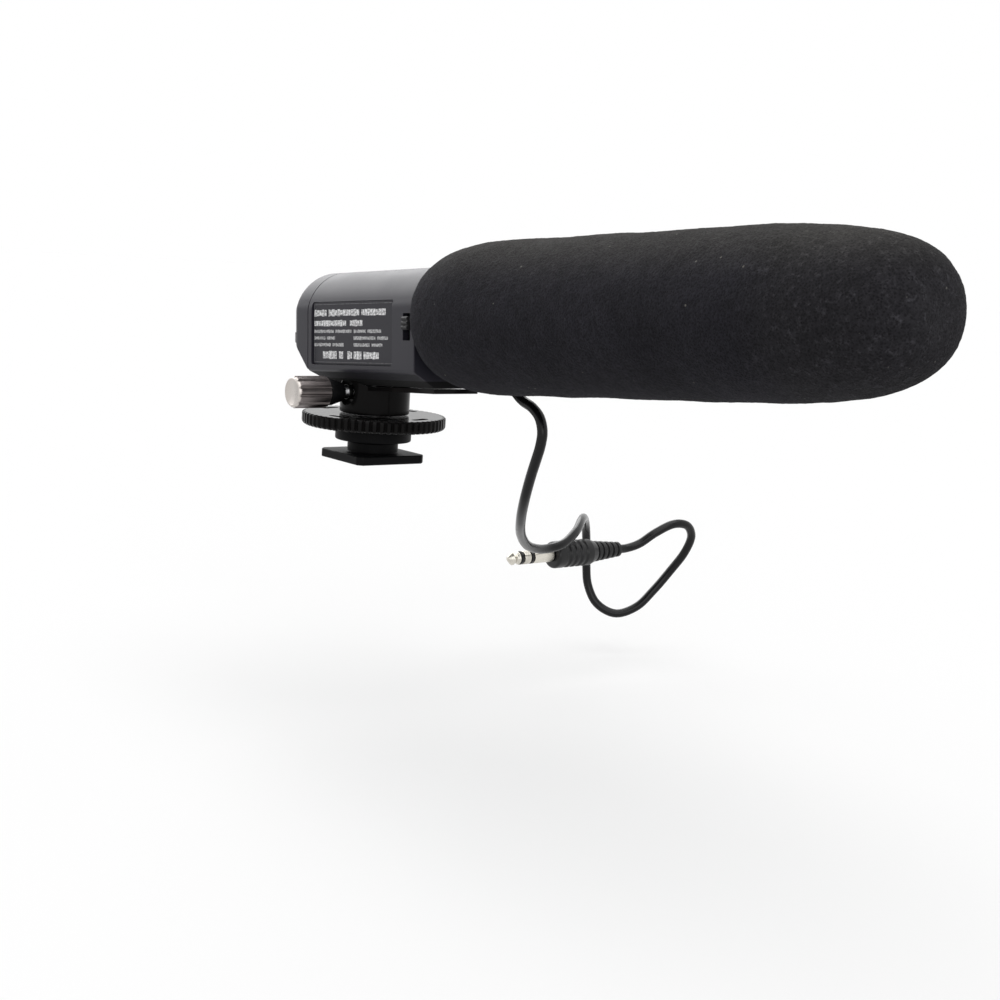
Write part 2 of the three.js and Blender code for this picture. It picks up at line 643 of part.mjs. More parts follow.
function frontContact() {
  const shape = roundedRectangle(contact.side, contact.side, contact.corner, cell.left, cellZ);
  const start = cell.front + seat;
  return geometryOf(pushedAlongX(shape, start, start + contact.thickness));
}

// A bowed leaf on the battery cap's inner face.
function rearContact() {
  const [t, half] = [contact.thickness, contact.height / 2];
  const back = -body.rear + body.wall + seat;
  const crest = back + contact.bow;
  const bow = shapeOf([
    [back, cellZ - half], [back + t, cellZ - half], [crest, cellZ - t], [crest, cellZ + t],
    [back + t, cellZ + half], [back, cellZ + half],
  ], [new THREE.Path([
    [back + t, cellZ - half + contact.foot], [crest - t, cellZ - t / 2], [crest - t, cellZ + t / 2],
    [back + t, cellZ + half - contact.foot],
  ].map(([x, z]) => new THREE.Vector2(x, z)))]);
  return geometryOf(pushedAlongY(bow, cell.left - contact.width / 2, cell.left + contact.width / 2));
}

// The slotted tube and what it holds

function tubeCollar() {
  const bore = collar.bore / 2;
  const rear = collar.rearDiameter / 2;
  const rearStart = innerFront + seat;
  return geometryOf(turnedAboutX([
    [bore, rearStart], [rear, rearStart], [rear, flangeStart], [tubeRadius, flangeStart],
    [tubeRadius, flangeEnd], [spigotRadius, flangeEnd], [spigotRadius, flangeEnd + collar.spigot],
    [bore, flangeEnd + collar.spigot], [bore, rearStart],
  ], 0, axisZ));
}

function interferenceTube() {
  const start = flangeEnd + seat;
  const barrel = turnedAboutX(cylinderProfile(tubeRadius, start, tube.front, tubeBore), 0, axisZ, medium);
  const slots = [];
  for (let row = 0; row < tubeSlotsAround / 2; row += 1) {
    for (let i = 0; i < tubeSlotsAlong; i += 1) {
      const x = tubeSlot.first + i * tubeSlot.pitch;
      const shape = roundedRectangle(tubeSlot.length, tubeSlot.width, tubeSlot.corner, x, 0);
      const across = pushed(shape, tube.diameter + 2 * overrun, 1).translate(0, 0, -tubeRadius - overrun);
      const angle = ((row + 0.5) / tubeSlotsAround) * 2 * Math.PI;
      slots.push(solid(across.rotateX(angle).translate(0, 0, axisZ)));
    }
  }
  return geometryOf(cut(barrel, ...slots));
}

function frontGrille() {
  const start = tube.front + seat;
  const end = start + grille.rim;
  const spigotStart = tube.front - grille.spigot;
  const bore = spigotRadius - grille.wall;
  const cup = turnedAboutX([
    [bore, spigotStart], [spigotRadius, spigotStart], [spigotRadius, start], [tubeRadius, start],
    [tubeRadius, end - grille.face / 2], [tubeRadius - grille.face / 2, end], [0, end],
    [0, end - grille.face], [bore, end - grille.face], [bore, spigotStart],
  ], 0, axisZ);
  const holes = [];
  const row = grille.holePitch * Math.sin(Math.PI / 3);
  const across = 1 + Math.floor((2 * bore - grille.holeDiameter) / grille.holePitch);
  for (let j = -1; j <= 1; j += 1) {
    const count = across - Math.abs(j);
    for (let i = 0; i < count; i += 1) {
      const y = (i - (count - 1) / 2) * grille.holePitch;
      const profile = cylinderProfile(grille.holeDiameter / 2, end - grille.face - overrun, end + overrun);
      holes.push(turnedAboutX(profile, y, axisZ + j * row, coarse));
    }
  }
  return geometryOf(cut(cup, ...holes));
}

const bootStart = flangeEnd + collar.spigot + seat;
const bootBore = spigotRadius - capsule.bootWall;

function capsuleBoot() {
  const profile = cylinderProfile(spigotRadius, bootStart, bootStart + capsule.bootLength, bootBore);
  return geometryOf(turnedAboutX(profile, 0, axisZ, medium));
}

function capsulePiece() {
  const r = bootBore - seat;
  const port = r - capsule.portWall;
  const front = bootStart + capsule.length;
  return geometryOf(turnedAboutX([
    [0, bootStart + seat], [r, bootStart + seat], [r, front], [port, front],
    [port, front - capsule.portDepth], [0, front - capsule.portDepth],
  ], 0, axisZ, medium));
}

// The lead, its grommet and its plug

const cordCurve = new THREE.CatmullRomCurve3(cordRoute.map((point) => new THREE.Vector3(...point)));

function circleShape(radius, sides) {
  return shapeOf(Array.from({ length: sides }, (_, i) => {
    const angle = (i / sides) * 2 * Math.PI;
    return [radius * Math.cos(angle), radius * Math.sin(angle)];
  }));
}

function tubeAlong(curve, radius, sides) {
  const steps = Math.round(curve.getLength() / (cordStepDiameters * cord.diameter));
  const options = { steps, extrudePath: curve, bevelEnabled: false };
  return new THREE.ExtrudeGeometry(circleShape(radius, sides), options);
}

function leadCord() {
  return geometryOf(solid(tubeAlong(cordCurve, cord.diameter / 2, cordSides)));
}

function cableGrommet() {
  const [flange, neck] = [grommet.diameter / 2, grommet.holeDiameter / 2];
  const step = body.front + seat / 10;
  const face = body.front + grommet.proud;
  return geometryOf(turnedAboutX([
    [0, innerFront], [neck, innerFront], [neck, step], [flange, step], [flange, (step + face) / 2],
    [neck, face], [0, face],
  ], grommet.left, bodyBottom + grommet.above, coarse));
}

function plugRelief() {
  const start = plug.reliefStart;
  const pitch = plug.reliefLength / reliefRibs;
  const profile = [[0, start]];
  for (let rib = 0; rib < reliefRibs; rib += 1) {
    const share = rib / (reliefRibs - 1);
    const r = (plug.reliefRoot + (plug.reliefTip - plug.reliefRoot) * share) / 2;
    const from = start + rib * pitch;
    const root = rib === reliefRibs - 1 ? 0 : r - plug.ribDepth;
    profile.push([r, from], [r, from + pitch * reliefCrestShare]);
    if (root > 0) profile.push([root, from + pitch * reliefFlankShare], [root, from + pitch]);
    else profile.push([0, from + pitch * reliefCrestShare]);
  }
  return geometryOf(turnedAboutY(profile, plug.x, plug.z, coarse));
}

const plugFace = plug.reliefStart - seat - plug.bodyLength;

function plugBody() {
  const [r, e, back] = [plug.bodyDiameter / 2, plug.bodyEdge, plug.reliefStart - seat];
  return geometryOf(turnedAboutY([
    [0, plugFace], [r - e, plugFace], [r, plugFace + e], [r, back - 3 * e], [r - e, back], [0, back],
  ], plug.x, plug.z, medium));
}

// The contact shaft: sleeve, insulating band, ring, second band and tip, along the plug's axis.
function plugPieces() {
  const [r, point] = [plug.contactDiameter / 2, plug.tipPoint / 2];
  const end = plugFace - seat;
  const tipEnd = end - plug.shaftLength;
  const tipBase = tipEnd + plug.tipLength;
  const bandB = tipBase + seat;
  const ringStart = bandB + plug.bandWidth + seat;
  const bandA = ringStart + plug.ringLength + seat;
  const sleeveStart = bandA + plug.bandWidth + seat;
  const about = (profile) => geometryOf(turnedAboutY(profile, plug.x, plug.z, coarse));
  return {
    plug_sleeve: about(cylinderProfile(r, sleeveStart, end)),
    plug_band_1: about(cylinderProfile(r, bandA, bandA + plug.bandWidth)),
    plug_ring: about(cylinderProfile(r, ringStart, ringStart + plug.ringLength)),
    plug_band_2: about(cylinderProfile(r, bandB, bandB + plug.bandWidth)),
    plug_tip: about([
      [0, tipEnd], [point, tipEnd], [r, tipEnd + plug.tipLength * tipWidestShare],
      [plug.tipNeck / 2, tipEnd + plug.tipLength * tipNeckShare], [r, tipBase], [0, tipBase],
    ]),
  };
}

// The foam windscreen

function foamWindscreen() {
  const start = body.front + foam.start;
  const noseStart = foam.length - foam.noseLength;
  const radiusAt = (x) => {
    const along = Math.min(Math.max((x - foam.rearLength) / (noseStart - foam.rearLength), 0), 1);
    const straight = foam.rearRadius + (foam.frontRadius - foam.rearRadius) * along;
    if (x < foam.rearLength) {
      const share = 1 - x / foam.rearLength;
      const swell = (1 - share ** mouthFullness) ** (1 / mouthFullness);
      return foam.mouthRadius + (foam.rearRadius - foam.mouthRadius) * swell;
    }
    if (x < noseStart) return straight;
    const share = (x - noseStart) / foam.noseLength;
    return foam.frontRadius * (1 - share ** noseFullness) ** (1 / noseFullness);
  };
  const mouth = Array.from({ length: mouthRings }, (_, i) => (
    foam.rearLength * (1 - Math.cos((i / mouthRings) * quarterTurn))));
  const nose = Array.from({ length: noseRings }, (_, i) => (
    noseStart + foam.noseLength * Math.sin((i / noseRings) * quarterTurn) ** noseCrowdingShare));
  const places = [...mouth, foam.rearLength, (foam.rearLength + noseStart) / 2, ...nose, foam.length];
  const bore = tubeRadius + foam.boreClearance;
  const boreEnd = foam.length - foam.tipWall;
  const profile = [
    [0, start + boreEnd], [bore, start + boreEnd], [bore, start],
    ...places.map((x) => [x === foam.length ? 0 : radiusAt(x), start + x]),
  ];
  const form = turnedAboutX(profile, 0, axisZ);
  const dent = solid(tubeAlong(cordCurve, cord.diameter / 2 + cord.relief, cordSides));
  return geometryOf(cut(form, dent));
}

// Colours and finishes

function finish(color, roughness, metalness = 0) {
  return new THREE.MeshStandardMaterial({ color, roughness, metalness });
}

const blackPlastic = finish(0x2b2b2e, 0.5);
const glossBlack = finish(0x151517, 0.2);
const greyPlastic = finish(0x4a4a4d, 0.45);
const nickel = finish(0xc9c4ba, 0.3, 0.9);
const steel = finish(0x9a9a9c, 0.35, 0.9);
const rubber = finish(0x17171a, 0.8);
const foamBlack = finish(0x242427, 0.95);
const boardGreen = finish(0x1f5a3c, 0.6);
const cellWrap = finish(0x3a4f7a, 0.4, 0.2);
const labelBlack = finish(0x323236, 0.55);
const brass = finish(0xb59a5a, 0.35, 0.9);

// The assembly

const assembly = new THREE.Group();

function place(name, geometry, material) {
  const mesh = new THREE.Mesh(geometry, material.clone());
  mesh.name = name;
  assembly.add(mesh);
}

// A piece of the head, or of the lead that hangs from it, is built level and turned up here.
function placeOnHead(name, geometry, material) {
  place(name, turnedUp(geometry), material);
}

place('shoe_foot', shoeFoot(), blackPlastic);
place('clamp_post', clampPost(), steel);
place('pressure_disc', pressureDisc(), blackPlastic);
place('lock_wheel', lockWheel(), glossBlack);
place('mount_column', mountColumn(), glossBlack);
columnScrewPlaces().forEach((x, i) => placeOnHead(`column_screw_${i + 1}`, columnScrewPiece(x), steel));
place('thumb_washer', thumbWasher(), nickel);
place('thumb_shaft', thumbShaft(), steel);
place('thumb_collar', thumbCollar(), blackPlastic);
place('thumb_knob', thumbKnob(), nickel);
placeOnHead('body_shell', bodyShell(), greyPlastic);
placeOnHead('battery_cap', batteryCap(), greyPlastic);
placeOnHead('label_plate', labelPlate(), labelBlack);
placeOnHead('switch_slider', switchSlider(), greyPlastic);
placeOnHead('switch_body', switchBody(), blackPlastic);
placeOnHead('circuit_board', circuitBoard(), boardGreen);
placeOnHead('battery_cradle', batteryCradle(), blackPlastic);
placeOnHead('battery_cell', batteryCell(), cellWrap);
placeOnHead('front_contact', frontContact(), nickel);
placeOnHead('rear_contact', rearContact(), nickel);
placeOnHead('tube_collar', tubeCollar(), blackPlastic);
placeOnHead('interference_tube', interferenceTube(), blackPlastic);
placeOnHead('front_grille', frontGrille(), blackPlastic);
placeOnHead('capsule_boot', capsuleBoot(), rubber);
placeOnHead('capsule', capsulePiece(), brass);
placeOnHead('cable_grommet', cableGrommet(), rubber);
placeOnHead('lead_cord', leadCord(), rubber);
placeOnHead('plug_relief', plugRelief(), rubber);
placeOnHead('plug_body', plugBody(), rubber);
for (const [name, geometry] of Object.entries(plugPieces())) {
  placeOnHead(name, geometry, name.startsWith('plug_band') ? rubber : nickel);
}
placeOnHead('foam_windscreen', foamWindscreen(), foamBlack);

export default assembly;
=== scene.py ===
"""An on camera microphone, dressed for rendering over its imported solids.

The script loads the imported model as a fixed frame, builds each sub-assembly's visible pieces in mesh code,
gives every piece a procedural finish, and sets the camera, the lamps and the floor. Sizes in the dataclasses
are in millimetres, and Blender's objects are in metres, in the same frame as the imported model. The head
points up by a few degrees: its pieces, its lead and the camera are laid out level and turned up together.
"""

import json
import logging
import math
from dataclasses import dataclass, replace
from enum import Enum
from typing import Iterable, Sequence

import bmesh
import bpy
from mathutils import Matrix, Vector, kdtree, noise

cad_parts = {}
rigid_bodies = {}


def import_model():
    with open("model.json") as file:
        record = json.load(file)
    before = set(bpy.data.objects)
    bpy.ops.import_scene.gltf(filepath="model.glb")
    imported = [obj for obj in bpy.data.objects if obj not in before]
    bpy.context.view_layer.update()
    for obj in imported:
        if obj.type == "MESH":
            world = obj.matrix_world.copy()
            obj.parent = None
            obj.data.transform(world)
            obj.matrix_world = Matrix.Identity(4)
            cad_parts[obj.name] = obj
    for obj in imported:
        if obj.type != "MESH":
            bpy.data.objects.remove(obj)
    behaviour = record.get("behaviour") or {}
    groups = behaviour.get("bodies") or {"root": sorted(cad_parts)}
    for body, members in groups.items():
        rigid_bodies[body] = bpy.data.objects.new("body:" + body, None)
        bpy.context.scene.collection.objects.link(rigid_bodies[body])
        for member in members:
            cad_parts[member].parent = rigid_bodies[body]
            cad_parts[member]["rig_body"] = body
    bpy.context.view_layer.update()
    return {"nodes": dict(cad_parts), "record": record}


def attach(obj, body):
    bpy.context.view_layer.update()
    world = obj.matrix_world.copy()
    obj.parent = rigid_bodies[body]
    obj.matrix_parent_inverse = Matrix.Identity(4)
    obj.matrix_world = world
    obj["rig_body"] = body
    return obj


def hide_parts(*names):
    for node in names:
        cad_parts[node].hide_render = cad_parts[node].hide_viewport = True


MM = 0.001
TINY = 1e-6
HEAD_PITCH = math.radians(4.5)
PITCH_HEIGHT = 11.3
AXIS_HEIGHT = 33.0
LEAD_EXIT = (9.0, 21.6)
LOG = logging.getLogger("microphone")

Point2 = tuple[float, float]
Point3 = tuple[float, float, float]
Colour = tuple[float, float, float]


def turn_up(angle: float = HEAD_PITCH) -> Matrix:
    """The head's turn about a line across the column's foot, for places in millimetres.

    Args:
        angle: the turn, which points the head up where it is positive.

    Returns:
        The turn as a matrix.
    """
    foot = Vector((0, 0, PITCH_HEIGHT))
    return Matrix.Translation(foot) @ Matrix.Rotation(-angle, 4, "Y") @ Matrix.Translation(-foot)


class Axis(Enum):
    """The direction that a turned or pushed form runs along."""

    X = 0
    Y = 1
    Z = 2

    def place(self, along: float, first: float, second: float) -> Point3:
        """Puts a height along this axis, and two places across it, into x, y and z.

        Args:
            along: the height.
            first: the place on the first of the other axes.
            second: the place on the last axis.

        Returns:
            The point.
        """
        across = [first, second]
        return tuple(along if i == self.value else across.pop(0) for i in range(3))


class Join(Enum):
    """How a tool form changes the form that it meets."""

    CUT = "DIFFERENCE"
    ADD = "UNION"
    KEEP = "INTERSECT"


# Shader arithmetic


class Wire:
    """A shader socket or number that Python's operators turn into Math and Vector Math nodes."""

    def __init__(
        self, tree: "ShaderTree", socket: "bpy.types.NodeSocket | float", vector: bool = False,
    ) -> None:
        """Wraps a socket or a number.

        Args:
            tree: the tree that new nodes go into.
            socket: the output socket, or a plain number.
            vector: whether the value is a vector or colour.
        """
        self.tree = tree
        self.socket = socket
        self.vector = vector

    def _math(self, operation: str, *others: "Wire | float") -> "Wire":
        """Adds a node for an operation on this value and others.

        Args:
            operation: the name of the operation.
            others: the other operands.

        Returns:
            The result.
        """
        vector = self.vector or any(isinstance(o, Wire) and o.vector for o in others)
        kind = "ShaderNodeVectorMath" if vector else "ShaderNodeMath"
        operands = dict(enumerate([self, *others]))
        return self.tree.node(kind, {"operation": operation}, operands, vector=vector)

    def __add__(self, other: "Wire | float") -> "Wire":
        """Adds."""
        return self._math("ADD", other)

    __radd__ = __add__

    def __mul__(self, other: "Wire | float") -> "Wire":
        """Multiplies; a vector times a number is scaled.

        Args:
            other: the other value.

        Returns:
            The product.
        """
        if self.vector and not (isinstance(other, Wire) and other.vector):
            operands = {0: self, 3: other}
            return self.tree.node("ShaderNodeVectorMath", {"operation": "SCALE"}, operands, vector=True)
        return self._math("MULTIPLY", other)

    __rmul__ = __mul__

    def __sub__(self, other: "Wire | float") -> "Wire":
        """Subtracts."""
        return self._math("SUBTRACT", other)

    def __rsub__(self, other: float) -> "Wire":
        """Subtracts this value from a number."""
        return Wire(self.tree, other)._math("SUBTRACT", self)

    def __truediv__(self, other: "Wire | float") -> "Wire":
        """Divides."""
        return self._math("DIVIDE", other)

    def __pow__(self, other: float) -> "Wire":
        """Raises to a power."""
        return self._math("POWER", other)

    def above(self, other: float) -> "Wire":
        """1 where this value is above a number, and otherwise 0."""
        return self._math("GREATER_THAN", other)

    def near(self, centre: float, reach: "Wire | float") -> "Wire":
        """1 where this value lies within a reach of a centre, and otherwise 0."""
        return self._math("COMPARE", centre, reach)

    def chance(self) -> "Wire":
        """An even random number from 0 to 1 for this value's whole part."""
        whole = self._math("FLOOR")
        return self.tree.node("ShaderNodeTexWhiteNoise", {"noise_dimensions": "1D"}, {"W": whole})

    def fraction(self) -> "Wire":
        """What this value has over its whole part."""
        return self._math("FRACT")

    def sine(self) -> "Wire":
        """The sine of this value."""
        return self._math("SINE")

    def ramp(self, low: float, high: float, start: float = 0.0, end: float = 1.0) -> "Wire":
        """Maps this value from one range to another, smoothly and without running past the end.

        Args:
            low: the value that gives start.
            high: the value that gives end.
            start: the result at low.
            end: the result at high.

        Returns:
            The mapped value.
        """
        inputs = {"Value": self, "From Min": low, "From Max": high, "To Min": start, "To Max": end}
        return self.tree.node("ShaderNodeMapRange", {"interpolation_type": "SMOOTHSTEP"}, inputs)


class ShaderTree:
    """The node tree of one material or world, with its closing shader."""

    def __init__(self, name: str, world: bool = False, **constants: float | Colour) -> None:
        """Makes a material or a world.

        Args:
            name: its name.
            world: whether it is a world, whose closing shader is a Background.
            constants: the closing shader's plain settings, with underscores for spaces.
        """
        self.owner = (bpy.data.worlds if world else bpy.data.materials).new(name)
        self.owner.use_nodes = True
        self.nodes = self.owner.node_tree.nodes
        self.links = self.owner.node_tree.links
        self.shader = self.nodes["Background" if world else "Principled BSDF"]
        for key, value in constants.items():
            self.feed(key.replace("_", " "), value)

    def node(
        self, kind: str, settings: dict | None = None, inputs: dict | None = None, output: int | str = 0,
        vector: bool = False,
    ) -> Wire:
        """Adds a node of any type.

        Args:
            kind: the node's type.
            settings: its settings, set first; a ramp's stops are a list of positions and colours.
            inputs: values or links of its sockets, by name or place.
            output: the output that is wanted.
            vector: whether that output is a vector or colour.

        Returns:
            The output.
        """
        node = self.nodes.new(kind)
        for key, value in (settings or {}).items():
            if key != "stops":
                setattr(node, key, value)
                continue
            elements = node.color_ramp.elements
            while len(elements) < len(value):
                elements.new(1.0)
            for element, (position, colour) in zip(elements, value):
                element.position = position
                element.color = (*colour, 1.0)
        for key, value in (inputs or {}).items():
            self._set(node.inputs[key], value)
        return Wire(self, node.outputs[output], vector)

    def _set(self, socket: bpy.types.NodeSocket, value: Wire | float | Sequence[float]) -> None:
        """Links a socket, or sets its value.

        Args:
            socket: the socket.
            value: what it is linked to or set to; one number fills a whole vector.
        """
        value = value.socket if isinstance(value, Wire) else value
        if isinstance(value, bpy.types.NodeSocket):
            self.links.new(value, socket)
        elif isinstance(value, (int, float)):
            current = socket.default_value
            socket.default_value = value if isinstance(current, (int, float)) else [value] * len(current)
        else:
            size = len(socket.default_value)
            socket.default_value = [*value, 1.0][:size]

    def feed(self, name: str, value: Wire | float | Sequence[float]) -> None:
        """Sets or links one of the closing shader's sockets."""
        self._set(self.shader.inputs[name], value)

    def places(self, level: bool = False) -> Wire:
        """The place on the object in millimetres.

        Args:
            level: whether it is the place on the head as it was before it was turned up.

        Returns:
            The place.
        """
        place = self.node("ShaderNodeTexCoord", output="Object", vector=True) * (1 / MM)
        if not level:
            return place
        foot = (0.0, 0.0, PITCH_HEIGHT)
        inputs = {"Vector": place, "Center": foot, "Axis": (0.0, 1.0, 0.0), "Angle": HEAD_PITCH}
        return self.node("ShaderNodeVectorRotate", None, inputs, vector=True)

    def parts(self, vector: Wire) -> tuple[Wire, Wire, Wire]:
        """Splits a vector into its three numbers."""
        node = self.node("ShaderNodeSeparateXYZ", None, {0: vector}).socket.node
        return tuple(Wire(self, socket) for socket in node.outputs)

    def grain(self, vector: Wire, size: float, detail: float = 2.0, roughness: float = 0.5) -> Wire:
        """Smooth noise of about a given size in millimetres, from 0 to 1."""
        inputs = {"Vector": vector, "Scale": 1 / size, "Detail": detail, "Roughness": roughness}
        return self.node("ShaderNodeTexNoise", None, inputs)

    def cells(self, vector: Wire, size: float, feature: str = "F1") -> Wire:
        """The distance within cells of a given size in millimetres."""
        return self.node("ShaderNodeTexVoronoi", {"feature": feature}, {"Vector": vector, "Scale": 1 / size})

    def blend(self, mask: Wire | float, first: Wire | Colour, second: Wire | Colour) -> Wire:
        """A colour between two colours."""
        settings = {"data_type": "RGBA"}
        return self.node("ShaderNodeMix", settings, {0: mask, 6: first, 7: second}, output=2, vector=True)

    def edges(self, width: float) -> Wire:
        """The edges that a hand would wear.

        Args:
            width: how far the wear reaches from an edge, in millimetres.

        Returns:
            1 along the edges, and 0 elsewhere.
        """
        rounded = self.node("ShaderNodeBevel", {"samples": 4}, {"Radius": width * MM}, vector=True)
        plain = self.node("ShaderNodeNewGeometry", output="Normal", vector=True)
        operands = {0: rounded, 1: plain}
        turn = self.node("ShaderNodeVectorMath", {"operation": "DOT_PRODUCT"}, operands, output="Value")
        return (1.0 - turn).ramp(0.01, 0.2)

    def relief(self, height: Wire, depth: float) -> None:
        """Feeds a height, in shares of a depth in millimetres, to the shader's normal."""
        bump = self.node("ShaderNodeBump", None, {"Height": height, "Distance": depth * MM, "Strength": 1.0})
        self.feed("Normal", bump)


# Finishes


@dataclass(frozen=True)
class MouldedPlastic:
    """Moulded plastic with a fine spark-eroded grain and lightly rubbed edges.

    Faces that look down can be darkened by the share underside, and what lies below a set height on the level
    head is darkened nearly to black; both darkenings are painted shade.
    """

    name: str
    colour: Colour
    roughness: float = 0.45
    grain: float = 0.22
    depth: float = 0.012
    wear: float = 0.3
    gloss: float = 0.4
    # Painted shade: the share on faces that look down, the height below which the surface turns nearly black,
    # and that darkening's fade.
    underside: float = 0.0
    painted_shade_height: float = -100.0
    painted_shade_fade: float = 0.25
    cloud: float = 9.0
    worn_edge: float = 0.35
    worn_patch: float = 1.6

    def material(self) -> bpy.types.Material:
        """Makes the material.

        Returns:
            The material.
        """
        tree = ShaderTree(self.name, Specular_IOR_Level=self.gloss)
        place = tree.places()
        fine = tree.grain(place, self.grain, 3.0)
        broad = tree.grain(place, self.cloud, 3.0)
        worn = tree.edges(self.worn_edge) * tree.grain(place, self.worn_patch).ramp(0.35, 0.7)
        shade = (broad - 0.5) * 0.25 + (fine - 0.5) * 0.12 + 1.0
        rubbed = tuple(min(1.0, 2.1 * c + 0.02) for c in self.colour)
        base = tree.blend(worn * self.wear, self.colour, rubbed)
        rough = (broad - 0.5) * 0.12 + (fine - 0.5) * 0.1 + (self.roughness - worn * 0.08)
        # Painted shade: faces that look down, and the band below a set height, are darkened and made rougher.
        if self.underside:
            _, _, facing = tree.parts(tree.node("ShaderNodeNewGeometry", output="Normal", vector=True))
            _, _, height = tree.parts(tree.places(level=True))
            painted_down_shade = facing.ramp(-0.77, -0.85) * self.underside
            deep = height.ramp(self.painted_shade_height + self.painted_shade_fade, self.painted_shade_height) * 0.95
            painted_light_share = (1 - painted_down_shade) * (1 - deep)
            shade = shade * painted_light_share
            rough = rough + (1 - painted_light_share) * 0.5
        tree.feed("Base Color", base * shade)
        tree.feed("Roughness", rough)
        tree.relief(fine, self.depth)
        return tree.owner


@dataclass(frozen=True)
class PolishedPlastic:
    """Hard polished plastic with faint waves, fine scratches and a little dust."""

    name: str
    colour: Colour
    roughness: float = 0.16
    gloss: float = 0.3
    wave_length: float = 3.5
    speck: float = 0.9
    speck_patch: float = 4.0
    scratch_width: float = 0.25
    dust_colour: Colour = (0.16, 0.155, 0.15)

    def material(self) -> bpy.types.Material:
        """Makes the material.

        Returns:
            The material.
        """
        tree = ShaderTree(self.name, Specular_IOR_Level=self.gloss)
        place = tree.places()
        wave = tree.grain(place, self.wave_length, 2.0)
        specks = tree.cells(place, self.speck).ramp(0.04, 0.1, 1.0, 0.0)
        dust = specks * tree.grain(place, self.speck_patch).ramp(0.5, 0.7)
        scratch = tree.grain(place, self.scratch_width, 4.0)
        tree.feed("Base Color", tree.blend(dust * 0.35, self.colour, self.dust_colour))
        tree.feed("Roughness", (scratch - 0.5) * 0.12 + dust * 0.25 + self.roughness)
        tree.relief(wave + scratch * 0.15, 0.02)
        return tree.owner


@dataclass(frozen=True)
class TurnedMetal:
    """Plated or plain metal, turned about a line along one axis, with faint tool rings.

    What lies before the place end, along the axis, takes end_colour: a pale end face beside sides whose
    darker colour is a painted reflection.
    """

    name: str
    colour: Colour
    dull: Colour
    axis: Axis
    centre: Point2
    roughness: float = 0.24
    ring: float = 0.16
    on_head: bool = False
    end: float | None = None
    end_edge: float = 0.1
    end_colour: Colour = (0.54, 0.505, 0.475)
    cloud: float = 1.8
    stain: float = 5.0

    def material(self) -> bpy.types.Material:
        """Makes the material.

        Returns:
            The material.
        """
        tree = ShaderTree(self.name, Metallic=1.0)
        place = tree.places(self.on_head)
        numbers = list(tree.parts(place))
        along = numbers.pop(self.axis.value)
        first, second = (number - centre for number, centre in zip(numbers, self.centre))
        radius = (first * first + second * second) ** 0.5
        rings = ((radius + along) * (2 * math.pi / self.ring)).sine()
        cloud = tree.grain(place, self.cloud, 4.0)
        stain = tree.grain(place, self.stain, 3.0).ramp(0.45, 0.75)
        base = tree.blend(stain * 0.6, self.colour, self.dull)
        # Painted reflection: the end takes a pale colour, and the rest keeps the darker given colour.
        if self.end is not None:
            end_share = along.ramp(self.end - self.end_edge, self.end + self.end_edge, 1.0, 0.0)
            base = tree.blend(end_share, base, self.end_colour)
        tree.feed("Base Color", base)
        tree.feed("Roughness", (cloud - 0.5) * 0.16 + rings * 0.02 + stain * 0.08 + self.roughness)
        tree.relief(rings * 0.5 + cloud, 0.006)
        return tree.owner


@dataclass(frozen=True)
class OpenFoam:
    """Open-cell foam: dark pores between matt struts, with clumps of tone, a few pale fibres and painted
    light that lightens its top.
    """

    name: str
    colour: Colour
    # colour is darker and bluer as painted shade, and top is the painted light that the foam turns to towards
    # its crown and nose.
    top: Colour
    cell: float = 0.45
    crown: float = 49.5
    crown_fade: float = 12.0
    nose: float = 142.0
    nose_fade: float = 16.0
    fuzz: float = 0.5
    clump: float = 2.4
    patch: float = 20.0
    nap: float = 1.3
    fibre: float = 3.4
    fibre_patch: float = 1.7
    fibre_colour: Colour = (0.2, 0.19, 0.17)

    def material(self) -> bpy.types.Material:
        """Makes the material.

        Returns:
            The material.
        """
        tree = ShaderTree(
            self.name, Roughness=0.95, Specular_IOR_Level=0.08, Sheen_Weight=0.03, Sheen_Roughness=0.5,
        )
        place = tree.places(level=True)
        along, _, height = tree.parts(place)
        rubbed = along.ramp(self.nose - self.nose_fade, self.nose)
        pores = tree.cells(place, self.cell)
        fuzz = tree.grain(place, self.fuzz, 6.0, 0.75)
        clump = tree.grain(place, self.clump, 6.0, 0.7)
        patch = tree.grain(place, self.patch, 4.0)
        specks = tree.cells(place, self.fibre).ramp(0.045, 0.08, 1.0, 0.0)
        fibre = specks * tree.grain(place, self.fibre_patch).ramp(0.5, 0.56)
        nap = tree.grain(place, self.nap, 5.0, 0.65).ramp(0.5, 0.7) * (rubbed * 1.1 + 0.15)
        tone = pores.ramp(0.1, 0.65, 0.6, 1.2) * ((fuzz - 0.5) * 1.2 + 1.0) * ((clump - 0.5) * 1.3 + 1.0)
        tone = tone * ((patch - 0.5) * 0.8 + 1.0) * (nap + 1.0)
        # Painted light: the colour turns lighter and warmer towards the top, and partly towards the nose.
        painted_light_share = height.ramp(self.crown - self.crown_fade, self.crown) + rubbed * 0.25
        base = tree.blend(painted_light_share, self.colour, self.top)
        tree.feed("Base Color", tree.blend(fibre * 0.6, base * tone, self.fibre_colour))
        tree.relief(pores * 0.5 + fuzz + clump * 1.2 + nap * 0.8, 0.2)
        return tree.owner


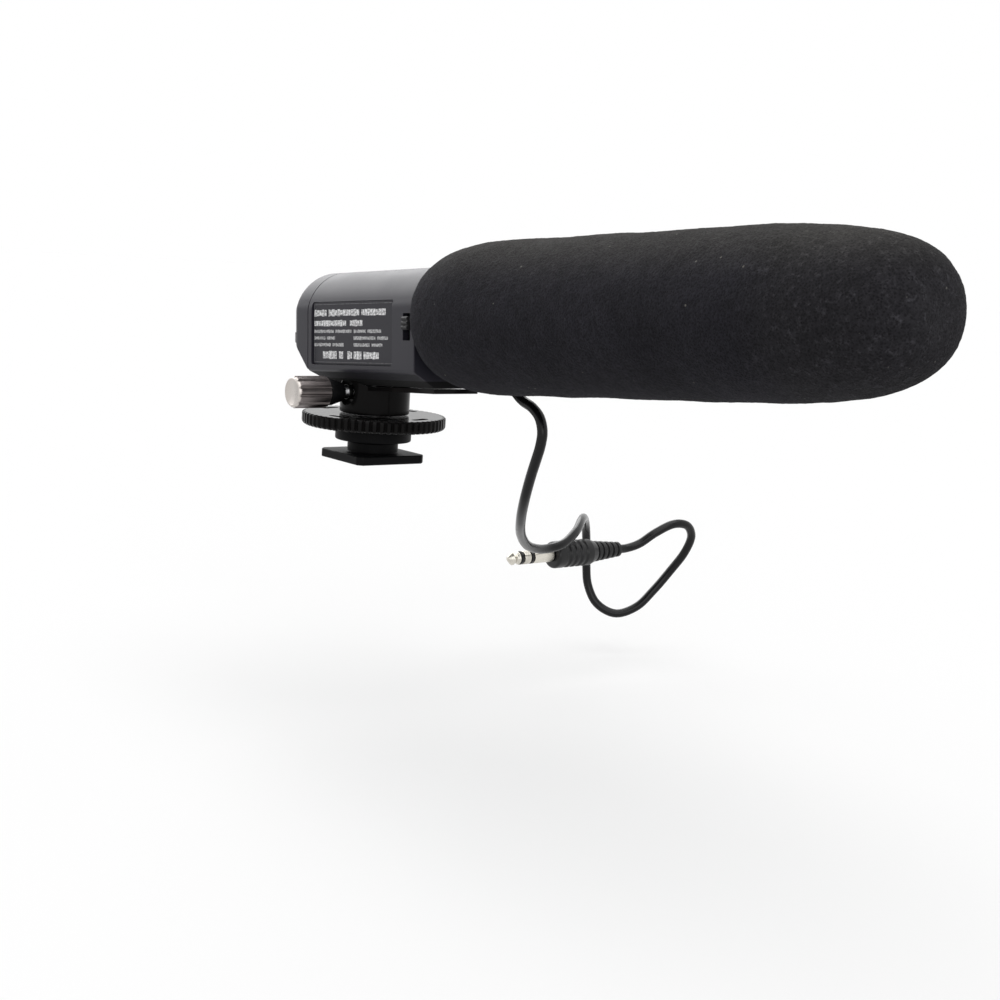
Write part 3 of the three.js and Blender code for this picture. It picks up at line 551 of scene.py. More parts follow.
@dataclass(frozen=True)
class SoftRubber:
    """Soft black rubber or vinyl, with a satin skin and a few scuffs."""

    name: str
    colour: Colour = (0.007, 0.007, 0.0078)
    roughness: float = 0.3
    gloss: float = 0.36
    skin: float = 0.5
    scuff: float = 2.6

    def material(self) -> bpy.types.Material:
        """Makes the material.

        Returns:
            The material.
        """
        tree = ShaderTree(self.name, Specular_IOR_Level=self.gloss)
        place = tree.places()
        skin = tree.grain(place, self.skin, 3.0)
        scuff = tree.grain(place, self.scuff, 5.0, 0.7).ramp(0.52, 0.75)
        tree.feed("Base Color", tree.blend(scuff * 0.4, self.colour, tuple(2.4 * c for c in self.colour)))
        tree.feed("Roughness", (skin - 0.5) * 0.12 + scuff * 0.18 + self.roughness)
        tree.relief(skin + scuff * 0.4, 0.012)
        return tree.owner


@dataclass(frozen=True)
class PrintedLabel:
    """A dark label with rows of plain pale ticks inside a thin border."""

    name: str
    colour: Colour
    ink: Colour
    low: Point2
    high: Point2
    tick_pitch: float = 0.72
    border_outer: float = 0.55
    border_inner: float = 0.7
    fleck: float = 0.5
    tooth: float = 0.2

    # Each row gives its depth below the top, its height, and where each run of ticks starts and ends.
    rows: tuple[tuple[float, float, tuple[Point2, ...]], ...] = (
        (2.6, 1.6, ((0.6, 6.0), (7.0, 20.2), (21.0, 31.0))),
        (5.0, 1.45, ((0.6, 14.6), (16.2, 21.6))),
        (6.85, 0.8, ((0.6, 9.4), (10.0, 17.0), (17.8, 22.9), (23.6, 29.2))),
        (8.4, 0.8, ((0.6, 5.6), (6.2, 9.8), (17.8, 26.9), (27.6, 32.0))),
        (9.95, 0.8, ((0.6, 8.0), (8.7, 13.6), (17.8, 24.6), (25.4, 29.8))),
        (12.3, 1.85, ((4.4, 10.6), (11.6, 13.4), (15.2, 17.2), (17.9, 21.2), (22.0, 28.4))),
    )

    def material(self) -> bpy.types.Material:
        """Makes the material.

        Returns:
            The material.
        """
        tree = ShaderTree(self.name, Specular_IOR_Level=0.24)
        place = tree.places(level=True)
        along, _, height = tree.parts(place)
        ink = None
        for depth, tall, bars in self.rows:
            spans = [along.near(self.low[0] + (start + end) / 2, (end - start) / 2) for start, end in bars]
            filled = spans[0]
            for span in spans[1:]:
                filled = filled + span
            count = along / (self.tick_pitch * tall) + depth * 7.0
            row = height.near(self.high[1] - depth, (count.chance() * 0.16 + 0.37) * tall)
            ticks = count.fraction().near(0.5, 0.42) * 0.55 + 0.45
            marks = row * filled * ticks * (1.0 if tall > 1.0 else 0.62)
            ink = marks if ink is None else ink + marks
        outer, inner = (self.inside(along, height, inset) for inset in (self.border_outer, self.border_inner))
        ink = ink + (outer - inner) * 0.13
        fine = tree.grain(place, self.tooth, 3.0)
        patchy = tree.grain(place, self.fleck, 3.0, 0.6).ramp(0.4, 0.56, 0.4, 1.0)
        tree.feed("Base Color", tree.blend(ink * patchy, self.colour, self.ink) * ((fine - 0.5) * 0.2 + 1.0))
        tree.feed("Roughness", 0.5 - ink * 0.1 + (fine - 0.5) * 0.1)
        tree.relief(fine * 0.4 + ink, 0.01)
        return tree.owner

    def inside(self, along: Wire, height: Wire, inset: float) -> Wire:
        """The part of the label within a border.

        Args:
            along: the place along the head.
            height: the height on the level head.
            inset: the border's width.

        Returns:
            1 within the border, and otherwise 0.
        """
        middles = [(low + high) / 2 for low, high in zip(self.low, self.high)]
        halves = [(high - low) / 2 - inset for low, high in zip(self.low, self.high)]
        return along.near(middles[0], halves[0]) * height.near(middles[1], halves[1])


@dataclass(frozen=True)
class PaperFloor:
    """A plain pale floor that keeps its soft shadow, and glows only as seen, reflected or through glass."""

    name: str = "floor_paper"
    colour: Colour = (0.5, 0.5, 0.5)
    glow: float = 0.42

    def material(self) -> bpy.types.Material:
        """Makes the material.

        Returns:
            The material.
        """
        tree = ShaderTree(self.name)
        plain = tree.node("ShaderNodeBsdfDiffuse", None, {"Color": self.colour})
        rays = ("Is Camera Ray", "Is Glossy Ray", "Is Transmission Ray")
        camera, glossy, through = (tree.node("ShaderNodeLightPath", output=ray) for ray in rays)
        seen = camera + glossy + through
        glow = tree.node("ShaderNodeEmission", None, {"Color": (1.0, 1.0, 1.0), "Strength": seen * self.glow})
        both = tree.node("ShaderNodeAddShader", None, {0: plain, 1: glow})
        tree.links.new(both.socket, tree.nodes["Material Output"].inputs["Surface"])
        tree.nodes.remove(tree.shader)
        return tree.owner


# Mesh forms, in millimetres

# A corner that turns less than this is left as it is, and a rounding takes at most this share of a side.
LEAST_TURN = math.radians(3)
MOST_SIDE_SHARE = 0.48

# Neighbouring faces that differ by less than this are joined into one flat.
FLAT_TURN = math.radians(1)


def eased(
    points: Sequence[Sequence[float]], radius: float, steps: int = 4, closed: bool = False,
) -> list[Point2]:
    """Rounds the corners of a line of points.

    Args:
        points: pairs, each with a radius of its own as an optional third number.
        radius: the radius at corners that have none of their own.
        steps: the points on each rounded corner, less one.
        closed: whether the line closes on itself.

    Returns:
        The rounded line.
    """
    places = [Vector(point[:2]) for point in points]
    count = len(places)
    line: list[Point2] = []
    for i, (place, point) in enumerate(zip(places, points)):
        wanted = point[2] if len(point) > 2 else radius
        if wanted <= 0 or (not closed and i in (0, count - 1)):
            line.append(tuple(place))
            continue
        before, after = places[i - 1] - place, places[(i + 1) % count] - place
        turn = math.pi - before.angle(after, math.pi)
        if turn < LEAST_TURN:
            line.append(tuple(place))
            continue
        shorter = min(before.length, after.length)
        reach = min(wanted * math.tan(turn / 2), MOST_SIDE_SHARE * shorter)
        start, end = place + before.normalized() * reach, place + after.normalized() * reach
        for step in range(steps + 1):
            t = step / steps
            line.append(tuple(start * (1 - t) ** 2 + place * (2 * t * (1 - t)) + end * t**2))
    return line


@dataclass
class Form:
    """A closed mesh under way: its vertices in millimetres and its faces."""

    vertices: list[Point3]
    faces: list[tuple[int, ...]]

    @classmethod
    def turned(
        cls, profile: Sequence[Point2], axis: Axis, at: Point2 = (0.0, 0.0), segments: int = 96,
        closed: bool = False,
    ) -> "Form":
        """Turns a profile about a line.

        Args:
            profile: pairs of radius and height.
            axis: the line's direction.
            at: where the line passes, on the two other axes.
            segments: the sides of the turned form.
            closed: whether the profile closes on itself, as a bored piece's does.

        Returns:
            The form.
        """
        vertices: list[Point3] = []
        rows: list[list[int]] = []
        for radius, height in profile:
            start = len(vertices)
            if radius < TINY:
                vertices.append(axis.place(height, *at))
                rows.append([start] * segments)
                continue
            for i in range(segments):
                angle = 2 * math.pi * (i + 0.5) / segments
                first, second = at[0] + radius * math.cos(angle), at[1] + radius * math.sin(angle)
                vertices.append(axis.place(height, first, second))
            rows.append(list(range(start, start + segments)))
        faces = []
        for low, high in zip(rows, rows[1:] + rows[:1] if closed else rows[1:]):
            for i in range(segments):
                j = (i + 1) % segments
                corners = tuple(dict.fromkeys((low[i], low[j], high[j], high[i])))
                if len(corners) > 2:
                    faces.append(corners)
        return cls(vertices, faces)

    @classmethod
    def rod(
        cls, radius: float, low: float, high: float, axis: Axis, at: Point2 = (0.0, 0.0), sides: int = 96,
    ) -> "Form":
        """A plain rod, for a round cutter."""
        return cls.turned([(0, low), (radius, low), (radius, high), (0, high)], axis, at, sides)

    @classmethod
    def lofted(cls, rings: Sequence[Sequence[Point3]]) -> "Form":
        """Joins rings of points and closes both ends.

        Args:
            rings: the rings, each with as many points as the next.

        Returns:
            The form.
        """
        around = len(rings[0])
        faces = []
        for ring in range(len(rings) - 1):
            for i in range(around):
                a, b = ring * around + i, ring * around + (i + 1) % around
                faces.append((a, b, b + around, a + around))
        last = (len(rings) - 1) * around
        faces += [tuple(range(around))[::-1], tuple(range(last, last + around))]
        return cls([point for ring in rings for point in ring], faces)

    @classmethod
    def pushed(cls, outline: Sequence[Point2], axis: Axis, low: float, high: float) -> "Form":
        """Pushes an outline along an axis."""
        return cls.lofted([[axis.place(along, *point) for point in outline] for along in (low, high)])

    @classmethod
    def block(cls, low: Point3, high: Point3) -> "Form":
        """A cutting block between two corners."""
        outline = [(low[1], low[2]), (high[1], low[2]), (high[1], high[2]), (low[1], high[2])]
        return cls.pushed(outline, Axis.X, low[0], high[0])

    def turned_by(self, angle: float) -> "Form":
        """This form turned about a line across the column's foot."""
        turn = turn_up(angle)
        return Form([tuple(turn @ Vector(vertex)) for vertex in self.vertices], self.faces)

    def object(self, name: str) -> bpy.types.Object:
        """Makes a linked object of this form, with its faces pointing out.

        Args:
            name: the object's name.

        Returns:
            The object.
        """
        mesh = bpy.data.meshes.new(name)
        mesh.from_pydata([[MM * number for number in vertex] for vertex in self.vertices], [], self.faces)
        work = bmesh.new()
        work.from_mesh(mesh)
        bmesh.ops.remove_doubles(work, verts=work.verts, dist=TINY)
        bmesh.ops.recalc_face_normals(work, faces=work.faces)
        work.to_mesh(mesh)
        work.free()
        made = bpy.data.objects.new(name, mesh)
        bpy.context.scene.collection.objects.link(made)
        return made


def settled(piece: bpy.types.Object) -> bpy.types.Object:
    """Replaces an object's mesh with what its modifiers make of it, and clears them.

    Args:
        piece: the object.

    Returns:
        The object.
    """
    graph = bpy.context.evaluated_depsgraph_get()
    mesh = bpy.data.meshes.new_from_object(piece.evaluated_get(graph))
    piece.modifiers.clear()
    old = piece.data
    piece.data = mesh
    bpy.data.meshes.remove(old)
    return piece


def shaped(base: bpy.types.Object, *steps: tuple[Join, Form]) -> bpy.types.Object:
    """Cuts, adds or keeps forms on an object, in order.

    Args:
        base: the object.
        steps: pairs of how and what.

    Returns:
        The object.
    """
    for how, form in steps:
        tool = form.object("tool")
        modifier = base.modifiers.new("shape", "BOOLEAN")
        modifier.operation = how.value
        modifier.solver = "EXACT"
        modifier.object = tool
        settled(base)
        bpy.data.meshes.remove(tool.data)
    return base


def taken(piece: bpy.types.Object) -> Form:
    """Turns an object back into a form, and removes it.

    Args:
        piece: the object.

    Returns:
        Its form.
    """
    mesh = piece.data
    places = [tuple(vertex.co / MM) for vertex in mesh.vertices]
    form = Form(places, [tuple(face.vertices) for face in mesh.polygons])
    bpy.data.meshes.remove(mesh)
    return form


def softened(piece: bpy.types.Object, width: float, limit: float = 38.0) -> bpy.types.Object:
    """Rounds an object's sharp edges, and keeps its flats flat.

    Args:
        piece: the object.
        width: the rounding's width in millimetres.
        limit: the angle in degrees above which an edge is rounded.

    Returns:
        The object.
    """
    bevel = piece.modifiers.new("edge", "BEVEL")
    bevel.width = width * MM
    bevel.segments = 2
    bevel.limit_method = "ANGLE"
    bevel.angle_limit = math.radians(limit)
    bevel.harden_normals = False
    piece.modifiers.new("normals", "WEIGHTED_NORMAL").keep_sharp = True
    smooth(piece, 40.0)
    return settled(piece)


def smooth(piece: bpy.types.Object, angle: float = 35.0) -> bpy.types.Object:
    """Shades an object smoothly, apart from its sharp edges.

    Args:
        piece: the object.
        angle: the angle in degrees above which an edge stays sharp.

    Returns:
        The object.
    """
    mesh = piece.data
    mesh.polygons.foreach_set("use_smooth", [True] * len(mesh.polygons))
    mesh.set_sharp_from_angle(angle=math.radians(angle))
    return piece


def fluted(radius: float, depth: float, count: int, crest: float, steps: int = 3) -> list[Point2]:
    """An outline of rounded crests with grooves between them.

    Args:
        radius: the crests' radius.
        depth: the grooves' depth.
        count: the number of grooves.
        crest: the crest's share of the pitch.
        steps: the points on each half of a groove.

    Returns:
        The outline.
    """
    shares = [(crest * i / 2, 0.0) for i in range(2)]
    for i in range(2 * steps + 1):
        t = i / (2 * steps)
        shares.append((crest + (1 - crest) * t, math.sin(math.pi * t)))
    outline = []
    for rib in range(count):
        for share, deep in shares[:-1]:
            angle = 2 * math.pi * (rib + share) / count
            r = radius - depth * deep
            outline.append((r * math.cos(angle), r * math.sin(angle)))
    return outline


# The assembly's workshop


class Workshop:
    """Puts finished pieces on their bodies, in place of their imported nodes."""

    def __init__(self, nodes: dict[str, bpy.types.Object], slots: dict[str, str]) -> None:
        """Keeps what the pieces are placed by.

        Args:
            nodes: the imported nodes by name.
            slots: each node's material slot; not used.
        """
        self.nodes = nodes
        self.slots = slots
        self.materials: dict[str, bpy.types.Material] = {}
        self.dressed: set[str] = set()

    def finish(self, finish: "Finish") -> bpy.types.Material:
        """The material of a finish, made once.

        Args:
            finish: the finish.

        Returns:
            Its material.
        """
        if finish.name not in self.materials:
            self.materials[finish.name] = finish.material()
        return self.materials[finish.name]

    def place_on_head(self, piece: bpy.types.Object, node: str, finish: "Finish") -> bpy.types.Object:
        """Places a piece that was built level, turned up with the head.

        Args:
            piece: the object.
            node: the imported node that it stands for.
            finish: its finish.

        Returns:
            The piece.
        """
        scale = Matrix.Scale(MM, 4)
        piece.data.transform(scale @ turn_up() @ scale.inverted())
        return self.place(piece, node, finish)

    def place(self, piece: bpy.types.Object, node: str, finish: "Finish") -> bpy.types.Object:
        """Dresses a piece and puts it in place of a node, on that node's body.

        Args:
            piece: the object.
            node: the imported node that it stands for.
            finish: its finish.

        Returns:
            The piece.
        """
        piece.name = f"{node}_skin"
        piece.data.materials.clear()
        piece.data.materials.append(self.finish(finish))
        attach(piece, self.nodes[node]["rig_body"])
        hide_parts(node)
        self.dressed.add(node)
        LOG.info("%s: %d faces", piece.name, len(piece.data.polygons))
        return piece

    def refine(
        self, node: str, finish: "Finish", width: float = 0.15, limit: float = 30.0,
    ) -> bpy.types.Object:
        """Makes a piece from a node's own form, with its flats joined and its edges rounded.

        Args:
            node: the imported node.
            finish: the finish.
            width: the rounding's width in millimetres.
            limit: the angle in degrees above which an edge is rounded.

        Returns:
            The piece.
        """
        work = bmesh.new()
        work.from_mesh(self.nodes[node].data)
        bmesh.ops.remove_doubles(work, verts=work.verts, dist=TINY)
        bmesh.ops.dissolve_limit(work, angle_limit=FLAT_TURN, verts=work.verts, edges=work.edges)
        mesh = bpy.data.meshes.new(node)
        work.to_mesh(mesh)
        work.free()
        if "custom_normal" in mesh.attributes:
            mesh.attributes.remove(mesh.attributes["custom_normal"])
        piece = bpy.data.objects.new(node, mesh)
        bpy.context.scene.collection.objects.link(piece)
        return self.place(softened(piece, width, limit), node, finish)


Finish = MouldedPlastic | PolishedPlastic | TurnedMetal | OpenFoam | SoftRubber | PrintedLabel | PaperFloor

SATIN_BLACK = MouldedPlastic("satin_black_plastic", (0.005, 0.005, 0.0055), roughness=0.46, gloss=0.06)
# The body's grey is darkened as painted shade on faces that look down and below a set height.
SATIN_GREY = MouldedPlastic(
    "satin_grey_plastic", (0.0228, 0.0218, 0.0298), roughness=0.4, gloss=0.27, underside=0.6, painted_shade_height=19.2,
)
SLIDER_GREY = MouldedPlastic("slider_plastic", (0.022, 0.0216, 0.023), roughness=0.45, gloss=0.25)
GLOSS_BLACK = PolishedPlastic("gloss_black_plastic", (0.0073, 0.0069, 0.0069), roughness=0.13, gloss=0.06)
RUBBER = SoftRubber("soft_rubber")
# The foam's first colour is darker and bluer as painted shade; the second is its painted lighter top.
WINDSCREEN_FOAM = OpenFoam("windscreen_foam", (0.0168, 0.0162, 0.0205), (0.034, 0.0325, 0.031))
BOARD_MASK = MouldedPlastic(
    "board_mask", (0.02, 0.11, 0.06), roughness=0.35, grain=0.5, depth=0.004, wear=0.0,
)
CELL_SLEEVE = PolishedPlastic("cell_sleeve", (0.06, 0.1, 0.22), roughness=0.25)


def plated(
    name: str, axis: Axis, centre: Point2, colour: Colour = (0.62, 0.58, 0.52), **more: float,
) -> TurnedMetal:
    """Nickel plate turned about a line."""
    return TurnedMetal(f"{name}_plate", colour, tuple(0.6 * c for c in colour), axis, centre, **more)


def steel(name: str, axis: Axis, centre: Point2) -> TurnedMetal:
    """Bare steel turned about a line."""
    bright, dull = (0.46, 0.46, 0.47), (0.3, 0.29, 0.28)
    return TurnedMetal(f"{name}_steel", bright, dull, axis, centre, roughness=0.32)


# Sub-assemblies


@dataclass(frozen=True)
class ColumnHoles:
    """The holes that go through both the column's top and the body's floor."""

    post_bore: float = 3.8
    screw_bore: float = 1.3
    screw_places: Point2 = (-6.1, 6.1)

    def post(self, low: float, high: float) -> Form:
        """The cutter for the post's upright bore."""
        return Form.rod(self.post_bore, low, high, Axis.Z)

    def screws(self, low: float, high: float, sides: int) -> list[Form]:
        """The cutters for the screws' holes, as they stand on the level head."""
        return [Form.rod(self.screw_bore, low, high, Axis.Z, (x, 0), sides) for x in self.screw_places]


@dataclass
class ClampStack:
    """The shoe foot, its post, the pressure disc and the knurled clamping wheel."""

    disc_low: float = 4.8
    disc_radius: float = 9.0
    disc_top: float = 7.7
    disc_ease: float = 0.4
    bore: float = 4.3
    bore_top: float = 20.0
    wheel_low: float = 8.0
    wheel_high: float = 11.0
    wheel_radius: float = 17.0
    wheel_depth: float = 0.6
    wheel_ribs: int = 64
    wheel_crest: float = 0.45
    wheel_ease: float = 0.12
    slot_circle: float = 13.4
    slot_width: float = 1.8
    slot_length: float = 5.6
    slot_turn: float = 20.0
    slots: int = 4
    overrun: float = 1.0

    # Each pair gives how far the rim is drawn in and the height above the wheel's underside.
    rim: tuple[Point2, ...] = (
        (-0.8, 0.0), (-0.35, 0.25), (-0.08, 0.6), (0.0, 0.95), (0.0, 2.5), (-0.06, 2.78), (-0.3, 3.0),
    )

    def build(self, shop: Workshop) -> None:
        """Builds the stack's pieces.

        Args:
            shop: the workshop that places them.
        """
        shop.refine("shoe_foot", SATIN_BLACK, 0.25)
        shop.refine("clamp_post", steel("post", Axis.Z, (0, 0)), 0.12)
        shop.place(self.disc(), "pressure_disc", SATIN_BLACK)
        shop.place(self.wheel(), "lock_wheel", GLOSS_BLACK)

    def disc(self) -> bpy.types.Object:
        """The disc with eased edges.

        Returns:
            The disc.
        """
        low, high, r = self.disc_low, self.disc_top, self.disc_radius
        corners = [(self.bore, low), (r, low), (r, high), (self.bore, high)]
        profile = eased(corners, self.disc_ease, closed=True)
        return smooth(Form.turned(profile, Axis.Z, segments=128, closed=True).object("disc"))

    def arc_slot(self, turn: float, steps: int = 8, end_steps: int = 6) -> Form:
        """A cutter for one arc slot, with round ends.

        Args:
            turn: where the slot's middle is, as an angle about the wheel.
            steps: the stretches along each side.
            end_steps: the stretches round each end.

        Returns:
            The cutter.
        """
        half = (self.slot_length - self.slot_width) / 2 / self.slot_circle
        outline = []
        for sign in (1, -1):
            for i in range(steps + 1):
                angle = turn + sign * (half * (2 * i / steps - 1))
                r = self.slot_circle + sign * self.slot_width / 2
                outline.append((r * math.cos(angle), r * math.sin(angle)))
            end = turn + sign * half
            centre = Vector((self.slot_circle * math.cos(end), self.slot_circle * math.sin(end)))
            out = Vector((math.cos(end), math.sin(end))) * sign
            on = Vector((-math.sin(end), math.cos(end))) * sign
            for i in range(1, end_steps):
                angle = math.pi * i / end_steps
                place = centre + (out * math.cos(angle) + on * math.sin(angle)) * (self.slot_width / 2)
                outline.append(tuple(place))
        return Form.pushed(outline, Axis.Z, self.wheel_low - self.overrun, self.wheel_high + self.overrun)

    def wheel(self) -> bpy.types.Object:
        """The wheel with its ribs, bore and arc slots.

        Returns:
            The wheel.
        """
        outline = fluted(self.wheel_radius, self.wheel_depth, self.wheel_ribs, self.wheel_crest)
        rings = []
        for shift, height in self.rim:
            share = (self.wheel_radius + shift) / self.wheel_radius
            rings.append([(x * share, y * share, self.wheel_low + height) for x, y in outline])
        wheel = Form.lofted(rings).object("wheel")
        hole = Form.rod(self.bore, 0, self.bore_top, Axis.Z)
        turns = [math.radians(self.slot_turn + 360 * i / self.slots) for i in range(self.slots)]
        shaped(wheel, (Join.CUT, hole), *((Join.CUT, self.arc_slot(turn)) for turn in turns))
        return softened(wheel, self.wheel_ease, limit=60.0)


@dataclass
class BodySection:
    """The body's cross-section: an arched top on flat sides, and a bottom drawn in by chamfers."""

    bottom: float = 17.8
    half: float = 11.4
    bottom_half: float = 5.9
    chamfer: float = 3.3
    crease: float = 35.7
    crown: float = 44.4
    slope_sum: float = 9.6
    rear: float = -19.2
    front: float = 33.0
    wall: float = 1.6
    rear_round: float = 3.0
    split: float = -11.5
    side_round: float = 1.2
    bottom_round: float = 0.8
    crease_round: float = 4.5
    crease_steps: int = 3
    wedge_depth: float = 20.0
    wedge_half: float = 30.0

    def outline(self, inset: float, steps: int = 48) -> list[Point2]:
        """The section's outline with eased corners.

        Args:
            inset: how far it is drawn in.
            steps: the stretches of the arch, whose first few beside each crease give way to its rounding.

        Returns:
            Its points as y and z.
        """
        rise = self.crown - self.crease
        radius = (self.half**2 + rise**2) / (2 * rise)
        centre = self.crown - radius
        slope = math.atan2(self.chamfer, self.half - self.bottom_half)
        half, arc = self.half - inset, radius - inset
        low_half = self.bottom_half - inset * math.tan(slope / 2)
        low_side = self.bottom + self.chamfer + inset * math.tan((math.pi / 2 - slope) / 2)
        start = math.acos(half / arc)
        low = self.bottom + inset
        corners = [(-half, low_side, self.side_round), (-low_half, low, self.bottom_round),
                   (low_half, low, self.bottom_round), (half, low_side, self.side_round)]
        arch = []
        for i in (0, *range(self.crease_steps, steps - self.crease_steps + 1), steps):
            angle = start + (math.pi - 2 * start) * i / steps
            arch.append((arc * math.cos(angle), centre + arc * math.sin(angle), 0.0))
        arch[0] = (*arch[0][:2], self.crease_round)
        arch[-1] = (*arch[-1][:2], self.crease_round)
        return eased([*corners, *arch], 0.0, closed=True)

    def ring(self, x: float, inset: float) -> list[Point3]:
        """The outline at a place along the body."""
        return [(x, y, z) for y, z in self.outline(inset)]

    def solid(self, low: float, high: float, inset: float = 0.0) -> Form:
        """The space inside an inset outline between two places."""
        return Form.lofted([self.ring(low, inset), self.ring(high, inset)])

    def wedge(self, offset: float) -> Form:
        """The wedge below the sloping rear corner.

        Args:
            offset: how far its slope is moved into the body.

        Returns:
            The wedge.
        """
        reach, depth = self.slope_sum + offset * math.sqrt(2), self.wedge_depth
        outline = [(-2 * depth, -depth), (reach + depth, -depth), (-2 * depth, reach + 2 * depth)]
        return Form.lofted([[(x, y, z) for x, z in outline] for y in (-self.wedge_half, self.wedge_half)])


@dataclass
class MicrophoneBody:
    """The body shell and its battery cap, the label, the switch and what is inside."""

    section: BodySection
    holes: ColumnHoles
    label_rear: float = -9.9
    label_front: float = 24.4
    label_low: float = 22.4
    label_high: float = 37.0
    label_depth: float = 1.0
    label_thickness: float = 0.2
    label_corner: float = 0.8
    label_gap: float = 0.16
    label_ease: float = 0.06
    slot_rear: float = 28.6
    slot_front: float = 31.4
    slot_low: float = 28.1
    slot_high: float = 34.0
    slot_corner: float = 0.3
    slot_depth: float = 4.0
    slider_low: float = 30.4
    slider_high: float = 33.3
    slider_proud: float = 0.8
    ridges: int = 3
    ridge_depth: float = 0.35
    ridge_round: float = 0.12
    crest_shares: Point2 = (0.68, 0.32)
    slider_ease: float = 0.08
    flange_side: float = 0.2
    flange_end: float = 1.1
    flange_thickness: float = 0.8
    flange_lap: float = 0.05
    gap: float = 0.3
    axis_height: float = AXIS_HEIGHT
    room_chamfer: float = 2.4
    tube_bore: float = 6.3
    lead_bore: float = 1.9
    lead_exit: Point2 = LEAD_EXIT
    cell_at: Point2 = (3.1, 33.4)
    front_bores: Point2 = (20.0, 40.0)
    floor_bores: Point2 = (10.0, 22.0)
    lip_length: float = 3.6
    lip_wall: float = 0.9
    web_steps: Point2 = (0.06, 0.05)
    slope_step: float = 0.09
    lower_step: float = 0.02
    slope_overlap: float = 0.5
    slope_inset: float = 0.4
    rear_steps: int = 8
    edge_round: float = 0.16

    # How far the cutters, and the space inside, run past what they cut.
    cut_half: float = 20.0
    cut_end: float = 8.0
    space_end: float = 2.0
    space_start: float = 4.0
    overrun: float = 3.0

    # Each pair gives a distance behind the front face and how far the outline is drawn in there.
    front_edge: tuple[Point2, ...] = ((0.35, 0.0), (0.1, 0.1), (0.0, 0.35))

    def build(self, shop: Workshop) -> None:
        """Builds the body's pieces.

        Args:
            shop: the workshop that places them.
        """
        shop.place_on_head(self.shell(), "body_shell", SATIN_GREY)
        shop.place_on_head(self.cap(), "battery_cap", SATIN_GREY)
        low, high = (self.label_rear, self.label_low), (self.label_front, self.label_high)
        label_finish = PrintedLabel("bare_label", (0.0228, 0.022, 0.0285), (0.96, 0.96, 0.97), low, high)
        shop.place_on_head(self.label(), "label_plate", label_finish)
        shop.place_on_head(self.slider(), "switch_slider", SLIDER_GREY)
        shop.refine("switch_body", SATIN_BLACK)
        shop.refine("circuit_board", BOARD_MASK, 0.05)
        shop.refine("battery_cradle", SATIN_BLACK, 0.1)
        shop.refine("battery_cell", CELL_SLEEVE, 0.2)
        contact = plated("contact", Axis.X, self.cell_at, on_head=True)
        shop.refine("front_contact", contact, 0.05)
        shop.refine("rear_contact", contact, 0.05)

    def room(self) -> BodySection:
        """The section of the space inside, whose chamfer starts lower."""
        return replace(self.section, chamfer=self.room_chamfer)

    def rectangle(self, low: Point2, high: Point2, corner: float) -> list[Point2]:
        """A rectangle with round corners."""
        return eased([low, (high[0], low[1]), high, (low[0], high[1])], corner, steps=5, closed=True)

    def side_cutter(self, low: Point2, high: Point2, corner: float, depth: float) -> Form:
        """A cutter into the right side.

        Args:
            low: its rear and low end, as x and z.
            high: its front and high end, as x and z.
            corner: its corners' radius.
            depth: how deep it cuts.

        Returns:
            The cutter.
        """
        outline = self.rectangle(low, high, corner)
        outer, inner = -self.section.half - self.overrun, -self.section.half + depth
        return Form.lofted([[(x, y, z) for x, z in outline] for y in (outer, inner)])

    def shell(self) -> bpy.types.Object:
        """The shell with its openings.

        Returns:
            The shell.
        """
        s = self.section
        start = s.split + self.gap / 2
        rings = [s.ring(start, 0), *(s.ring(s.front - behind, inset) for behind, inset in self.front_edge)]
        shell = Form.lofted(rings).object("shell")
        space = self.room().solid(start - self.space_start, s.front - s.wall, s.wall).object("space")
        cutters = [
            s.wedge(0),
            taken(shaped(space, (Join.CUT, s.wedge(s.wall)))),
            Form.rod(self.tube_bore, *self.front_bores, Axis.X, (0, self.axis_height)),
            Form.rod(self.lead_bore, *self.front_bores, Axis.X, self.lead_exit, sides=48),
            self.holes.post(*self.floor_bores).turned_by(-HEAD_PITCH),
            *self.holes.screws(*self.floor_bores, sides=32),
            self.side_cutter((self.label_rear, self.label_low), (self.label_front, self.label_high),
                             self.label_corner, self.label_depth),
            self.side_cutter((self.slot_rear, self.slot_low), (self.slot_front, self.slot_high),
                             self.slot_corner, self.slot_depth),
        ]
        shaped(shell, *((Join.CUT, cutter) for cutter in cutters))
        return softened(shell, self.edge_round, limit=42.0)

    def cap(self) -> bpy.types.Object:
        """The battery cap with its rounded rear end, sloping corner and lip.

        Returns:
            The cap.
        """
        s, room = self.section, self.room()
        end = s.split - self.gap / 2
        rings = []
        for i in range(self.rear_steps + 1):
            angle = math.pi / 2 * (1 - i / self.rear_steps)
            inset = s.rear_round * (1 - math.cos(angle))
            rings.append(s.ring(s.rear + s.rear_round * (1 - math.sin(angle)), inset))
        cap = Form.lofted([*rings, s.ring(end, 0)]).object("cap")
        # The forms that are added here end a few hundredths apart, so that no two faces lie in one plane.
        web_start, web_end = s.split - s.wall + self.web_steps[0], end - self.web_steps[1]
        slope_end, lower_start = end - self.slope_step, end + self.lower_step
        lip_inset = s.wall + self.gap
        lip = room.solid(s.split - s.wall, s.split + self.lip_length, lip_inset)
        web = s.solid(web_start, web_end, s.wall / 2)
        cut_end = s.split + self.cut_end
        hollow = room.solid(s.split - self.lip_length, cut_end, lip_inset + self.lip_wall)
        low_side = s.slope_sum + s.wall * math.sqrt(2) - s.split + self.gap
        lower = Form.block((lower_start, -self.cut_half, 0), (cut_end, self.cut_half, low_side))
        space = room.solid(s.rear + s.wall, s.split + self.space_end, s.wall)
        slope_wall = s.solid(s.rear + s.wall - self.slope_overlap, slope_end, self.slope_inset)
        slope = taken(shaped(slope_wall.object("slope_wall"), (Join.KEEP, s.wedge(s.wall))))
